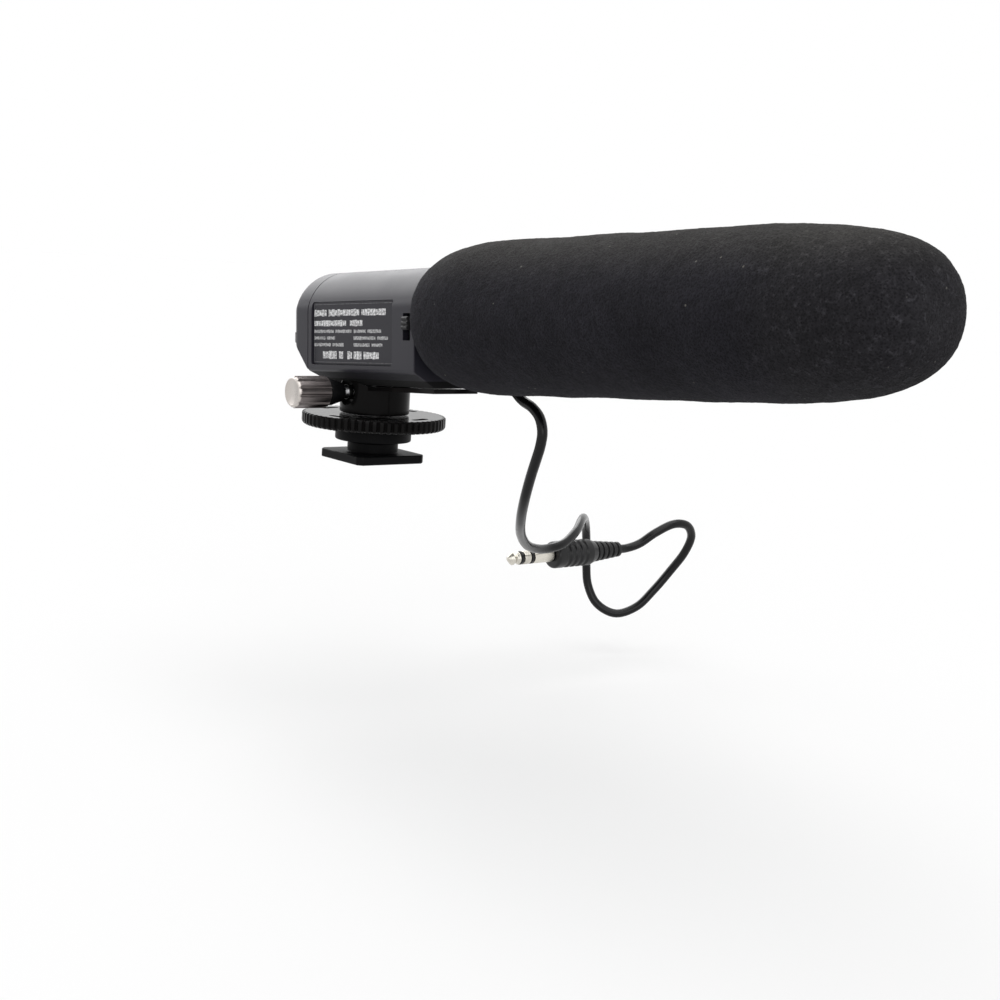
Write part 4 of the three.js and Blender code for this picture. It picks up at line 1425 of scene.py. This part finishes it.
        # The hollow also cuts the slope's wall, which is therefore added once more after it.
        shaped(cap, (Join.CUT, space), (Join.ADD, slope), (Join.ADD, web), (Join.ADD, lip),
               (Join.CUT, hollow), (Join.ADD, slope), (Join.CUT, lower), (Join.CUT, s.wedge(0)))
        return softened(cap, self.edge_round, limit=42.0)

    def label(self) -> bpy.types.Object:
        """The plate in the label recess.

        Returns:
            The plate.
        """
        low = (self.label_rear + self.label_gap, self.label_low + self.label_gap)
        high = (self.label_front - self.label_gap, self.label_high - self.label_gap)
        back = -self.section.half + self.label_depth - self.gap
        outline = self.rectangle(low, high, self.label_corner)
        plate = Form.lofted([[(x, y, z) for x, z in outline] for y in (back, back - self.label_thickness)])
        return softened(plate.object("label"), self.label_ease)

    def slider(self) -> bpy.types.Object:
        """The switch's ridged finger with its flange behind the wall.

        Returns:
            The slider.
        """
        s, soft = self.section, self.ridge_round
        outer, inner = -s.half - self.slider_proud, -s.half + s.wall + self.gap
        groove = outer + self.ridge_depth
        middle = (self.slot_rear + self.slot_front) / 2
        half = (self.slot_front - self.slot_rear) / 2 - self.gap
        pitch = (self.slider_high - self.slider_low) / self.ridges
        profile = [(inner, self.slider_low, 0.0), (inner, self.slider_high, 0.0)]
        for ridge in reversed(range(self.ridges)):
            base = self.slider_low + ridge * pitch
            crest = [(outer, base + share * pitch, soft) for share in self.crest_shares]
            profile += [(groove, base + pitch, soft), *crest]
        profile.append((groove, self.slider_low, soft))
        outline = eased(profile, 0.0, steps=3, closed=True)
        finger = Form.lofted([[(x, y, z) for y, z in outline] for x in (middle - half, middle + half)])
        reach, end = half + self.flange_side, self.flange_end
        low = (middle - reach, inner - self.flange_lap, self.slider_low - end)
        high = (middle + reach, inner + self.flange_thickness, self.slider_high + end)
        slider = shaped(finger.object("slider"), (Join.ADD, Form.block(low, high)))
        return softened(slider, self.slider_ease, limit=50.0)


@dataclass
class SwivelColumn:
    """The column under the body, its screws, and the thumb screw that clamps it to the post."""

    section: BodySection
    holes: ColumnHoles
    radius: float = 8.25
    low: float = 11.3
    column_ease: float = 0.4
    column_edge: float = 0.12
    plate_low: float = 16.6
    plate_gap: float = 0.2
    plate_overrun: float = 1.0
    screw_holes: Point2 = (14.8, 25.0)
    screw_height: float = 16.2
    thread_bore: float = 1.55
    spot_radius: float = 3.1
    spot_depth: float = 1.5
    washer_outer: float = -8.15
    washer_radius: float = 1.8
    washer_thickness: float = 1.1
    washer_ease: float = 0.12
    shaft_radius: float = 1.25
    shaft_tip: float = -3.0
    tip_length: float = 0.7
    thread_start: float = -9.1
    thread_lead: float = 0.3
    thread_pitch: float = 0.45
    thread_groove: Point2 = (0.22, 0.16)
    thread_end: float = 1.9
    knob_radius: float = 3.7
    knob_end: float = -22.6
    knob_inner: float = -13.8
    knob_chamfer: float = 0.75
    knob_inner_chamfer: float = 0.4
    knob_bore: float = 3.85
    knob_clearance: float = 0.3
    knob_ease: float = 0.3
    knob_edge: float = 0.08
    limit_over: float = 0.05
    face_height: float = 0.5
    dish_radius: float = 2.9
    dish_floor: float = 2.75
    dish_edge: float = 0.04
    dish_depth: float = 0.14
    dish_start: float = -25.0
    flutes: int = 12
    flute_depth: float = 0.42
    flute_crest: float = 0.5
    flute_steps: int = 4
    flute_rim: float = 0.06
    collar_radius: float = 3.1
    collar_tip: float = 2.2
    collar_length: float = 4.0
    collar_rounds: Point3 = (0.25, 0.8, 0.25)
    collar_flat_share: float = 0.25
    soft_edge: float = 0.1

    # How far the bores' cutters and the body's form reach past the column.
    reach: float = 30.0
    far: float = 40.0

    def build(self, shop: Workshop) -> None:
        """Builds the column and the thumb screw.

        Args:
            shop: the workshop that places them.
        """
        about = (0.0, self.screw_height)
        shop.place(self.column(), "mount_column", GLOSS_BLACK)
        for i, x in enumerate(self.holes.screw_places):
            shop.refine(f"column_screw_{i + 1}", steel(f"screw_{i + 1}", Axis.Z, (x, 0)), 0.1)
        blackened = TurnedMetal("washer_black", (0.02, 0.02, 0.02), (0.01, 0.01, 0.01), Axis.Y, about, 0.5)
        shop.place(self.washer(), "thumb_washer", blackened)
        shop.place(self.shaft(), "thumb_shaft", steel("shaft", Axis.Y, about))
        shop.place(self.collar(), "thumb_collar", SATIN_BLACK)
        face = self.knob_end + self.face_height
        # The knob's sides are coloured far darker than nickel as a painted reflection of dark surroundings;
        # its end face stays pale.
        metal = plated("knob", Axis.Y, about, (0.2, 0.178, 0.174), end=face, roughness=0.3)
        shop.place(self.knob(), "thumb_knob", metal)

    def column(self) -> bpy.types.Object:
        """The column, cut to the body's underside, with its thin plate, bore, spot face and screw holes.

        Returns:
            The column.
        """
        s, r = self.section, self.radius
        top, about = s.bottom + s.chamfer, (0, self.screw_height)
        profile = eased([(0, self.low), (r, self.low), (r, top), (0, top)], self.column_ease)
        column = Form.turned(profile, Axis.Z, segments=144).object("column")
        low = (s.rear, -s.bottom_half, self.plate_low)
        high = (s.front - self.plate_gap, s.bottom_half, s.bottom + self.plate_overrun)
        plate = taken(shaped(Form.block(low, high).object("plate"), (Join.CUT, s.wedge(0))))
        # The round cutters' side counts are unlike, so that no two share a plane through their corners.
        tools = [
            s.solid(-self.far, self.far, -self.plate_gap).turned_by(HEAD_PITCH),
            self.holes.post(0, self.reach),
            Form.rod(self.thread_bore, -self.reach, 0, Axis.Y, about, sides=50),
            Form.rod(self.spot_radius, -self.reach, -r + self.spot_depth, Axis.Y, about, sides=98),
            *(screw.turned_by(HEAD_PITCH) for screw in self.holes.screws(*self.screw_holes, sides=34)),
        ]
        shaped(column, (Join.ADD, plate.turned_by(HEAD_PITCH)), *((Join.CUT, tool) for tool in tools))
        return softened(column, self.column_edge, limit=45.0)

    def turned(
        self, name: str, corners: Sequence[Sequence[float]], ease: float, bored: bool,
    ) -> bpy.types.Object:
        """A piece turned about the thumb screw's axis.

        Args:
            name: its name.
            corners: its profile's corners, as radius and place along the axis.
            ease: the corners' radius.
            bored: whether the profile closes on itself round a bore.

        Returns:
            The piece.
        """
        profile = eased(corners, ease, closed=bored)
        return smooth(Form.turned(profile, Axis.Y, (0, self.screw_height), closed=bored).object(name))

    def washer(self) -> bpy.types.Object:
        """The washer where the screw enters the column.

        Returns:
            The washer.
        """
        bore, r, outer = self.thread_bore, self.washer_radius, self.washer_outer
        inner = outer + self.washer_thickness
        corners = [(bore, outer), (r, outer), (r, inner), (bore, inner)]
        return self.turned("washer", corners, self.washer_ease, bored=True)

    def shaft(self) -> bpy.types.Object:
        """The shaft, with its thread's grooves cut where it shows and its tip drawn in.

        Returns:
            The shaft.
        """
        soft, r, end = self.soft_edge, self.shaft_radius, self.shaft_tip
        start = self.knob_inner - self.knob_bore + self.knob_clearance
        corners = [(0, start), (r, start, soft), (r, self.thread_start - self.thread_lead, soft)]
        width, depth = self.thread_groove
        along = self.thread_start
        while along < end - self.thread_end:
            corners += [(r - depth, along, soft / 2), (r, along + width, soft / 2)]
            along += self.thread_pitch
        corners += [(r, end - self.tip_length, soft), (r / 2, end, soft), (0, end)]
        return self.turned("shaft", corners, soft, bored=False)

    def collar(self) -> bpy.types.Object:
        """The dark collar that narrows towards the column.

        Returns:
            The collar.
        """
        bore, r, length = self.thread_bore, self.collar_radius, self.collar_length
        start = self.knob_inner + self.knob_clearance
        outer, shoulder, tip = self.collar_rounds
        corners = [(bore, start), (r, start, outer), (r, start + self.collar_flat_share * length, shoulder),
                   (self.collar_tip, start + length, tip), (bore, start + length)]
        return self.turned("collar", corners, self.soft_edge, bored=True)

    def knob(self) -> bpy.types.Object:
        """The fluted knob with its dished end face.

        Returns:
            The knob.
        """
        end, inner, r, height = self.knob_end, self.knob_inner, self.knob_radius, self.screw_height
        about, chamfer, over = (0, height), self.knob_inner_chamfer, r + self.limit_over
        outline = fluted(r, self.flute_depth, self.flutes, self.flute_crest, self.flute_steps)
        knob = Form.lofted([[(x, along, height + z) for x, z in outline] for along in (end, inner)])
        rim = r - self.flute_depth - self.flute_rim
        limits = eased([(0, end), (rim, end), (over, end + self.knob_chamfer), (over, inner - chamfer),
                        (r - chamfer, inner), (0, inner)], self.knob_ease)
        start, edge, floor = self.dish_start, end + self.dish_edge, end + self.dish_depth
        wide, narrow = self.dish_radius, self.dish_floor
        dish = [(0, start), (wide, start), (wide, edge), (narrow, floor), (0, floor)]
        # The round forms' side counts are unlike, so that no two share a plane through their corners.
        piece = shaped(
            knob.object("knob"), (Join.KEEP, Form.turned(limits, Axis.Y, about, segments=110)),
            (Join.CUT, Form.turned(dish, Axis.Y, about, segments=98)),
            (Join.CUT, Form.rod(self.thread_bore, inner - self.knob_bore, 0, Axis.Y, about, sides=50)),
        )
        return softened(piece, self.knob_edge, limit=55.0)


@dataclass
class Barrel:
    """The slotted tube with its collar, capsule and pierced end, under the windscreen."""

    axis_height: float = AXIS_HEIGHT
    coat_colour: Colour = (0.02, 0.02, 0.021)

    def build(self, shop: Workshop) -> None:
        """Builds the barrel's pieces.

        Args:
            shop: the workshop that places them.
        """
        shop.refine("tube_collar", SATIN_BLACK, 0.2)
        coats = (("interference_tube", "tube_coat", 0.5), ("front_grille", "grille_coat", 0.45))
        for node, coat, roughness in coats:
            shop.refine(node, MouldedPlastic(coat, self.coat_colour, roughness, 0.15), 0.1, 60.0)
        shop.refine("capsule_boot", RUBBER, 0.15)
        about = (0, self.axis_height)
        brass = TurnedMetal("capsule_brass", (0.55, 0.42, 0.2), (0.3, 0.22, 0.1), Axis.X, about, on_head=True)
        shop.refine("capsule", brass, 0.15)


@dataclass
class Lead:
    """The lead from the body's front face to its plug."""

    diameter: float = 2.3
    sides: int = 16
    spacing: float = 0.8
    fine_steps: int = 40
    exit: Point2 = LEAD_EXIT
    grommet_rear: float = 31.4
    grommet_groove: float = 33.03
    grommet_rim: float = 33.25
    grommet_front: float = 33.6
    grommet_radius: float = 1.6
    grommet_rim_radius: float = 1.9
    grommet_front_radius: float = 1.5
    grommet_ease: float = 0.05
    grommet_rounds: Point3 = (0.1, 0.2, 0.15)
    plug_at: Point2 = (5.5, -25.7)
    relief_start: float = 65.0
    relief_length: float = 9.3
    relief_radius: float = 2.7
    relief_taper: float = 0.7
    relief_ease: float = 0.2
    rib_depth: float = 0.62
    ribs: int = 5
    rib_share: float = 0.52
    rib_round: float = 0.25
    rib_groove_round: float = 0.12
    groove_shares: Point2 = (0.62, 0.95)
    grip_start: float = 50.7
    grip_end: float = 64.7
    grip_radius: float = 3.5
    grip_front: float = 2.5
    grip_rear: float = 2.3
    grip_rounds: Point3 = (0.8, 0.6, 0.4)
    grooves: int = 4
    groove_start: float = 53.6
    groove_pitch: float = 1.9
    groove_radius: float = 3.12
    groove_places: Point3 = (0.35, 0.9, 1.25)
    groove_round: float = 0.2

    # The route's points, as in the part's source.
    route: tuple[Point3, ...] = (
        (33.9, 9, 21.6), (36.2, 9, 21.6), (39, 9.05, 20.4), (41.8, 9.1, 17.7), (45, 9, 15.5), (48.4, 9, 14.1),
        (51, 9, 12), (52, 9, 9), (51.4, 9, 6), (49.8, 9.2, 2.9), (47.4, 9.8, -0.7), (43.4, 11.4, -6),
        (36.3, 16, -11.6), (25.6, 24.8, -17.2), (17.5, 34, -21.2), (13.8, 42, -22.6), (13.2, 48, -21.8),
        (10.4, 54.5, -19.4), (5, 61, -17.4), (-1.6, 67.6, -17.8), (-6.6, 72.6, -20.8), (-9, 75, -25.6),
        (-10, 76, -31.4), (-9.8, 76.6, -37.6), (-7.8, 78.2, -42.6), (-4.4, 82, -45.2), (-1.4, 87, -43.4),
        (0.8, 91.4, -38.8), (3.4, 95, -33.4), (6.8, 97, -28), (9.6, 96.6, -23.2), (11, 93.4, -20),
        (10.8, 88.6, -19.4), (9, 83.8, -21.6), (6.8, 79.8, -24.6), (5.5, 76.2, -25.7), (5.5, 73.77, -25.7),
    )

    def path(self) -> list[Vector]:
        """The smooth route.

        Returns:
            Points along it, about a spacing apart, in millimetres.
        """
        points = [Vector(point) for point in self.route]
        points = [2 * points[0] - points[1], *points, 2 * points[-1] - points[-2]]
        fine: list[Vector] = []
        for p0, p1, p2, p3 in zip(points, points[1:], points[2:], points[3:]):
            d0, d1, d2 = (math.sqrt((b - a).length) for a, b in ((p0, p1), (p1, p2), (p2, p3)))
            t1 = ((p1 - p0) / d0 - (p2 - p0) / (d0 + d1) + (p2 - p1) / d1) * d1
            t2 = ((p2 - p1) / d1 - (p3 - p1) / (d1 + d2) + (p3 - p2) / d2) * d1
            cubed = 2 * p1 - 2 * p2 + t1 + t2
            squared = 3 * p2 - 3 * p1 - 2 * t1 - t2
            for i in range(self.fine_steps):
                t = i / self.fine_steps
                fine.append(cubed * t**3 + squared * t**2 + t1 * t + p1)
        fine.append(points[-2])
        total = sum((b - a).length for a, b in zip(fine, fine[1:]))
        count = round(total / self.spacing)
        spaced = [fine[0]]
        walked = 0.0
        index = 0
        for step in range(1, count):
            wanted = total * step / count
            while walked + (fine[index + 1] - fine[index]).length < wanted:
                walked += (fine[index + 1] - fine[index]).length
                index += 1
            share = (wanted - walked) / (fine[index + 1] - fine[index]).length
            spaced.append(fine[index].lerp(fine[index + 1], share))
        return [*spaced, fine[-1]]

    def cord(self, path: list[Vector]) -> bpy.types.Object:
        """The tube along the route, with no twist between its rings.

        Args:
            path: the route's points.

        Returns:
            The tube.
        """
        rings = []
        side = Vector((0, 0, 1))
        last = len(path) - 1
        for i, point in enumerate(path):
            ahead = (path[min(i + 1, last)] - path[max(i - 1, 0)]).normalized()
            side = (side - ahead * side.dot(ahead)).normalized()
            other = ahead.cross(side)
            ring = []
            for j in range(self.sides):
                angle = 2 * math.pi * j / self.sides
                out = side * math.cos(angle) + other * math.sin(angle)
                ring.append(tuple(point + out * (self.diameter / 2)))
            rings.append(ring)
        return smooth(Form.lofted(rings).object("cord"))

    def build(self, shop: Workshop) -> None:
        """Args:
            shop: the workshop that places them.
        """
        path = self.path()
        vinyl = SoftRubber("lead_skin", roughness=0.2, gloss=0.22)
        cord = shop.place_on_head(self.cord(path), "lead_cord", vinyl)
        shop.place_on_head(self.grommet(), "cable_grommet", RUBBER)
        pieces = [
            shop.place_on_head(self.relief(), "plug_relief", RUBBER),
            shop.place_on_head(self.grip(), "plug_body", RUBBER),
        ]
        metal = plated("plug", Axis.Y, self.plug_at, (0.7, 0.67, 0.6), on_head=True)
        for node in ("plug_sleeve", "plug_ring", "plug_tip"):
            pieces.append(shop.refine(node, metal, 0.12))
        for node in ("plug_band_1", "plug_band_2"):
            pieces.append(shop.refine(node, RUBBER, 0.08))
        length = sum((b - a).length for a, b in zip(path, path[1:]))
        LOG.info("lead: %.1f mm", length)
        placed = [tuple((turn_up() @ point) * MM) for point in path]

    def grommet(self) -> bpy.types.Object:
        """The ring where the lead leaves the body.

        Returns:
            The ring.
        """
        r, rim, groove = self.grommet_radius, self.grommet_rim_radius, self.grommet_groove
        first, second, third = self.grommet_rounds
        profile = eased([
            (0, self.grommet_rear), (r, self.grommet_rear), (r, groove), (rim, groove, first),
            (rim, self.grommet_rim, second), (self.grommet_front_radius, self.grommet_front, third),
            (0, self.grommet_front),
        ], self.grommet_ease)
        return smooth(Form.turned(profile, Axis.X, self.exit, segments=64).object("grommet"))

    def relief(self) -> bpy.types.Object:
        """The ribbed strain relief.

        Returns:
            The relief.
        """
        low = self.relief_start
        pitch = self.relief_length / self.ribs
        corners: list[Sequence[float]] = [(0, low), (self.relief_radius, low)]
        for rib in range(self.ribs):
            r = self.relief_radius - self.relief_taper * rib / (self.ribs - 1)
            start = low + rib * pitch
            if rib:
                corners.append((r, start, self.rib_round))
            corners.append((r, start + self.rib_share * pitch, self.rib_round))
            if rib < self.ribs - 1:
                places = [start + share * pitch for share in self.groove_shares]
                corners += [(r - self.rib_depth, place, self.rib_groove_round) for place in places]
        corners.append((0, low + (self.ribs - 1 + self.rib_share) * pitch))
        profile = eased(corners, self.relief_ease)
        return smooth(Form.turned(profile, Axis.Y, self.plug_at, segments=64).object("relief"), angle=50.0)

    def grip(self) -> bpy.types.Object:
        """The moulded grip, with shallow finger grooves.

        Returns:
            The grip.
        """
        r, low, high = self.grip_radius, self.grip_start, self.grip_end
        front, shoulder, rear = self.grip_rounds
        corners: list[Sequence[float]] = [(0, low), (r, low, front), (r, low + self.grip_front)]
        into, out_of, over = self.groove_places
        for i in range(self.grooves):
            start = self.groove_start + i * self.groove_pitch
            corners += [(r, start), (self.groove_radius, start + into), (self.groove_radius, start + out_of),
                        (r, start + over)]
        corners += [(r, high - self.grip_rear, shoulder), (self.relief_radius, high, rear), (0, high)]
        profile = eased(corners, self.groove_round)
        return smooth(Form.turned(profile, Axis.Y, self.plug_at, segments=72).object("grip"), angle=50.0)


@dataclass
class Windscreen:
    """The foam windscreen over the barrel."""

    start: float = 33.8
    axis_height: float = AXIS_HEIGHT
    mouth: float = 12.5
    rear_radius: float = 16.15
    front_radius: float = 15.45
    rear_length: float = 17.5
    nose_length: float = 58.3
    length: float = 126.1
    bore: float = 10.3
    bore_length: float = 118.1
    nose_fullness: float = 3.65
    mouth_fullness: float = 2.03
    segments: int = 224
    bore_steps: int = 60
    bore_easing: Point2 = (0.2, 0.7)
    mouth_easing: Point2 = (0.7, 0.25)
    mouth_step: float = 0.04
    first_ring: float = 0.05
    last_ring: float = 0.02
    pace: float = 0.5
    probe: float = 0.1
    steepest: float = 30.0
    plain_wall: float = 0.3
    plain_end: float = 0.5
    cord_reach: float = 1.62

    # Each row gives the size of the foam's bumps, their height and a shift of their pattern.
    clumps: tuple[tuple[float, float, Point3], ...] = ((13.0, 0.22, (0, 0, 0)), (3.5, 0.08, (0, 0, 0)))
    cells: tuple[tuple[float, float, Point3], ...] = ((1.1, 0.05, (0, 0, 0)), (0.55, 0.05, (7, 3, 1)))

    def radius(self, x: float) -> float:
        """The outer radius at a place along the windscreen.

        Args:
            x: the distance from its mouth.

        Returns:
            The radius.
        """
        nose_start = self.length - self.nose_length
        if x < self.rear_length:
            share = 1 - x / self.rear_length
            swell = (1 - share**self.mouth_fullness) ** (1 / self.mouth_fullness)
            return self.mouth + (self.rear_radius - self.mouth) * swell
        if x < nose_start:
            share = (x - self.rear_length) / (nose_start - self.rear_length)
            return self.rear_radius + (self.front_radius - self.rear_radius) * share
        share = (x - nose_start) / self.nose_length
        return self.front_radius * max(0.0, 1 - share**self.nose_fullness) ** (1 / self.nose_fullness)

    def profile(self) -> list[Point2]:
        """The outline from the bore's end, over the mouth and along the outside to the nose.

        Returns:
            Pairs of radius and place along the head.
        """
        start, bore = self.start, self.bore
        end = start + self.bore_length
        near, far = self.bore_easing
        line = [(0.0, end), (bore * 0.5, end), (bore, end)]
        line += [(bore, end - (end - start) * i / self.bore_steps) for i in range(1, self.bore_steps)]
        line += [(bore, start + far), (bore + near, start + near), (bore + far, start)]
        far, near = self.mouth_easing
        line += [(self.mouth - far, start), (self.mouth - near, start + self.mouth_step)]
        x = self.first_ring
        while x < self.length - self.last_ring:
            line.append((self.radius(x), start + x))
            slope = abs(self.radius(min(x + self.probe, self.length)) - self.radius(x)) / self.probe
            x += self.pace / math.sqrt(1 + min(slope, self.steepest) ** 2)
        line.append((0.0, start + self.length))
        return line

    def bump(self, place: Vector) -> float:
        """How far the foam stands out at a place.

        Args:
            place: the place on the level head.

        Returns:
            The distance along the surface's normal.
        """
        clump, cell = (
            sum(noise.noise(place / size + Vector(shift)) * height for size, height, shift in rows)
            for rows in (self.clumps, self.cells)
        )
        return clump + cell

    def build(self, shop: Workshop, path: list[Vector]) -> None:
        """Builds the foam, roughened by its cells and pressed in along the lead.

        Args:
            shop: the workshop that places it.
            path: the lead's route.
        """
        form = Form.turned(self.profile(), Axis.X, (0.0, self.axis_height), self.segments)
        foam = smooth(form.object("foam"), angle=60.0)
        near = kdtree.KDTree(len(path))
        for i, point in enumerate(path):
            near.insert(point, i)
        near.balance()
        mesh = foam.data
        normals = [tuple(vertex.normal) for vertex in mesh.vertices]
        for vertex, normal in zip(mesh.vertices, normals):
            place = vertex.co / MM
            across = Vector((0, place.y, place.z - self.axis_height))
            beyond_bore = place.x > self.start + self.bore_length + self.plain_end
            if beyond_bore or across.length > self.bore + self.plain_wall:
                place = place + Vector(normal) * self.bump(place)
            found, _, distance = near.find(place)
            if distance < self.cord_reach:
                place = found + (place - found).normalized() * self.cord_reach
            vertex.co = place * MM
        shop.place_on_head(foam, "foam_windscreen", WINDSCREEN_FOAM)


@dataclass
class Studio:
    """The camera at the photograph's angle, the soft lamps, the white surround and the floor."""

    eye: Point3 = (306.68, -199.04, 25.93)
    azimuth: float = 52.3
    elevation: float = 5.5
    roll: float = 0.82
    focal: float = 1537.02
    frame: int = 1000
    sensor: float = 36.0
    floor_height: float = -56.0
    floor_reach: float = 6000.0
    surround_light: float = 0.3
    near_clip: float = 10.0

    # Each row gives a lamp's name, the direction towards it, its spread in degrees and its strength.
    lamps: tuple[tuple[str, Point3, float, float], ...] = (
        ("back_soft", (-0.79, 0.22, 0.6), 52.0, 0.44),
        ("left_soft", (-0.79, -0.4, 0.46), 36.0, 0.12),
        ("top_soft", (0.2, 0.0, 1.0), 60.0, 0.46),
        ("right_soft", (1.0, -0.6, 0.5), 50.0, 0.24),
    )

    def camera(self) -> None:
        """Sets the camera, whose frame is a square of pixels."""
        a, e, r = (math.radians(angle) for angle in (self.azimuth, self.elevation, self.roll))
        back = Vector((math.sin(a) * math.cos(e), -math.cos(a) * math.cos(e), math.sin(e)))
        level = Vector((math.cos(a), math.sin(a), 0))
        upright = back.cross(level)
        right = level * math.cos(r) + upright * math.sin(r)
        up = upright * math.cos(r) - level * math.sin(r)
        data = bpy.data.cameras.new("camera")
        data.sensor_width = self.sensor
        data.lens = self.focal / self.frame * self.sensor
        data.clip_start = self.near_clip * MM
        camera = bpy.data.objects.new("camera", data)
        bpy.context.scene.collection.objects.link(camera)
        matrix = Matrix((right, up, back)).transposed().to_4x4()
        matrix.translation = Vector(self.eye)
        matrix = turn_up() @ matrix
        matrix.translation *= MM
        camera.matrix_world = matrix
        bpy.context.scene.camera = camera

    def lamp(self, name: str, towards: Point3, spread: float, strength: float) -> None:
        """Adds a wide, far lamp.

        Args:
            name: its name.
            towards: the direction from the object to the lamp.
            spread: the angle that it fills, in degrees.
            strength: its light on a facing surface, as a share of what makes white.
        """
        data = bpy.data.lights.new(name, "SUN")
        data.angle = math.radians(spread)
        data.energy = math.pi * strength
        lamp = bpy.data.objects.new(name, data)
        bpy.context.scene.collection.objects.link(lamp)
        lamp.rotation_euler = Vector(towards).to_track_quat("Z", "Y").to_euler()

    def surround(self) -> None:
        """Sets a white surround that lights matt surfaces less than it shows in gloss."""
        tree = ShaderTree("surround", world=True, Color=(1.0, 1.0, 1.0))
        matt = tree.node("ShaderNodeLightPath", output="Is Diffuse Ray")
        tree.feed("Strength", matt.ramp(0.0, 1.0, 1.0, self.surround_light))
        bpy.context.scene.world = tree.owner

    def floor(self) -> None:
        """Lays the floor."""
        reach, z = self.floor_reach, self.floor_height
        corners = [(-reach, -reach, z), (reach, -reach, z), (reach, reach, z), (-reach, reach, z)]
        floor = Form(corners, [(0, 1, 2, 3)]).object("floor")
        floor.data.materials.append(PaperFloor().material())

    def build(self) -> None:
        """Sets up everything round the object."""
        self.camera()
        self.surround()
        self.floor()
        for lamp in self.lamps:
            self.lamp(*lamp)
        bpy.context.scene.view_settings.view_transform = "Standard"


def main() -> None:
    """Builds the scene."""
    logging.basicConfig(level=logging.INFO, format="%(message)s")
    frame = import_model()
    slots = {part["node"]: part["material_slot"] for part in frame["record"]["subparts"]}
    shop = Workshop(frame["nodes"], slots)
    Studio().build()
    lead = Lead()
    lead.build(shop)
    section = BodySection()
    holes = ColumnHoles()
    Windscreen().build(shop, lead.path())
    MicrophoneBody(section, holes).build(shop)
    SwivelColumn(section, holes).build(shop)
    ClampStack().build(shop)
    Barrel().build(shop)
    missing = sorted(set(frame["nodes"]) - shop.dressed)
    LOG.info("nodes left bare: %s", missing)


if __name__ == "__main__":
    main()
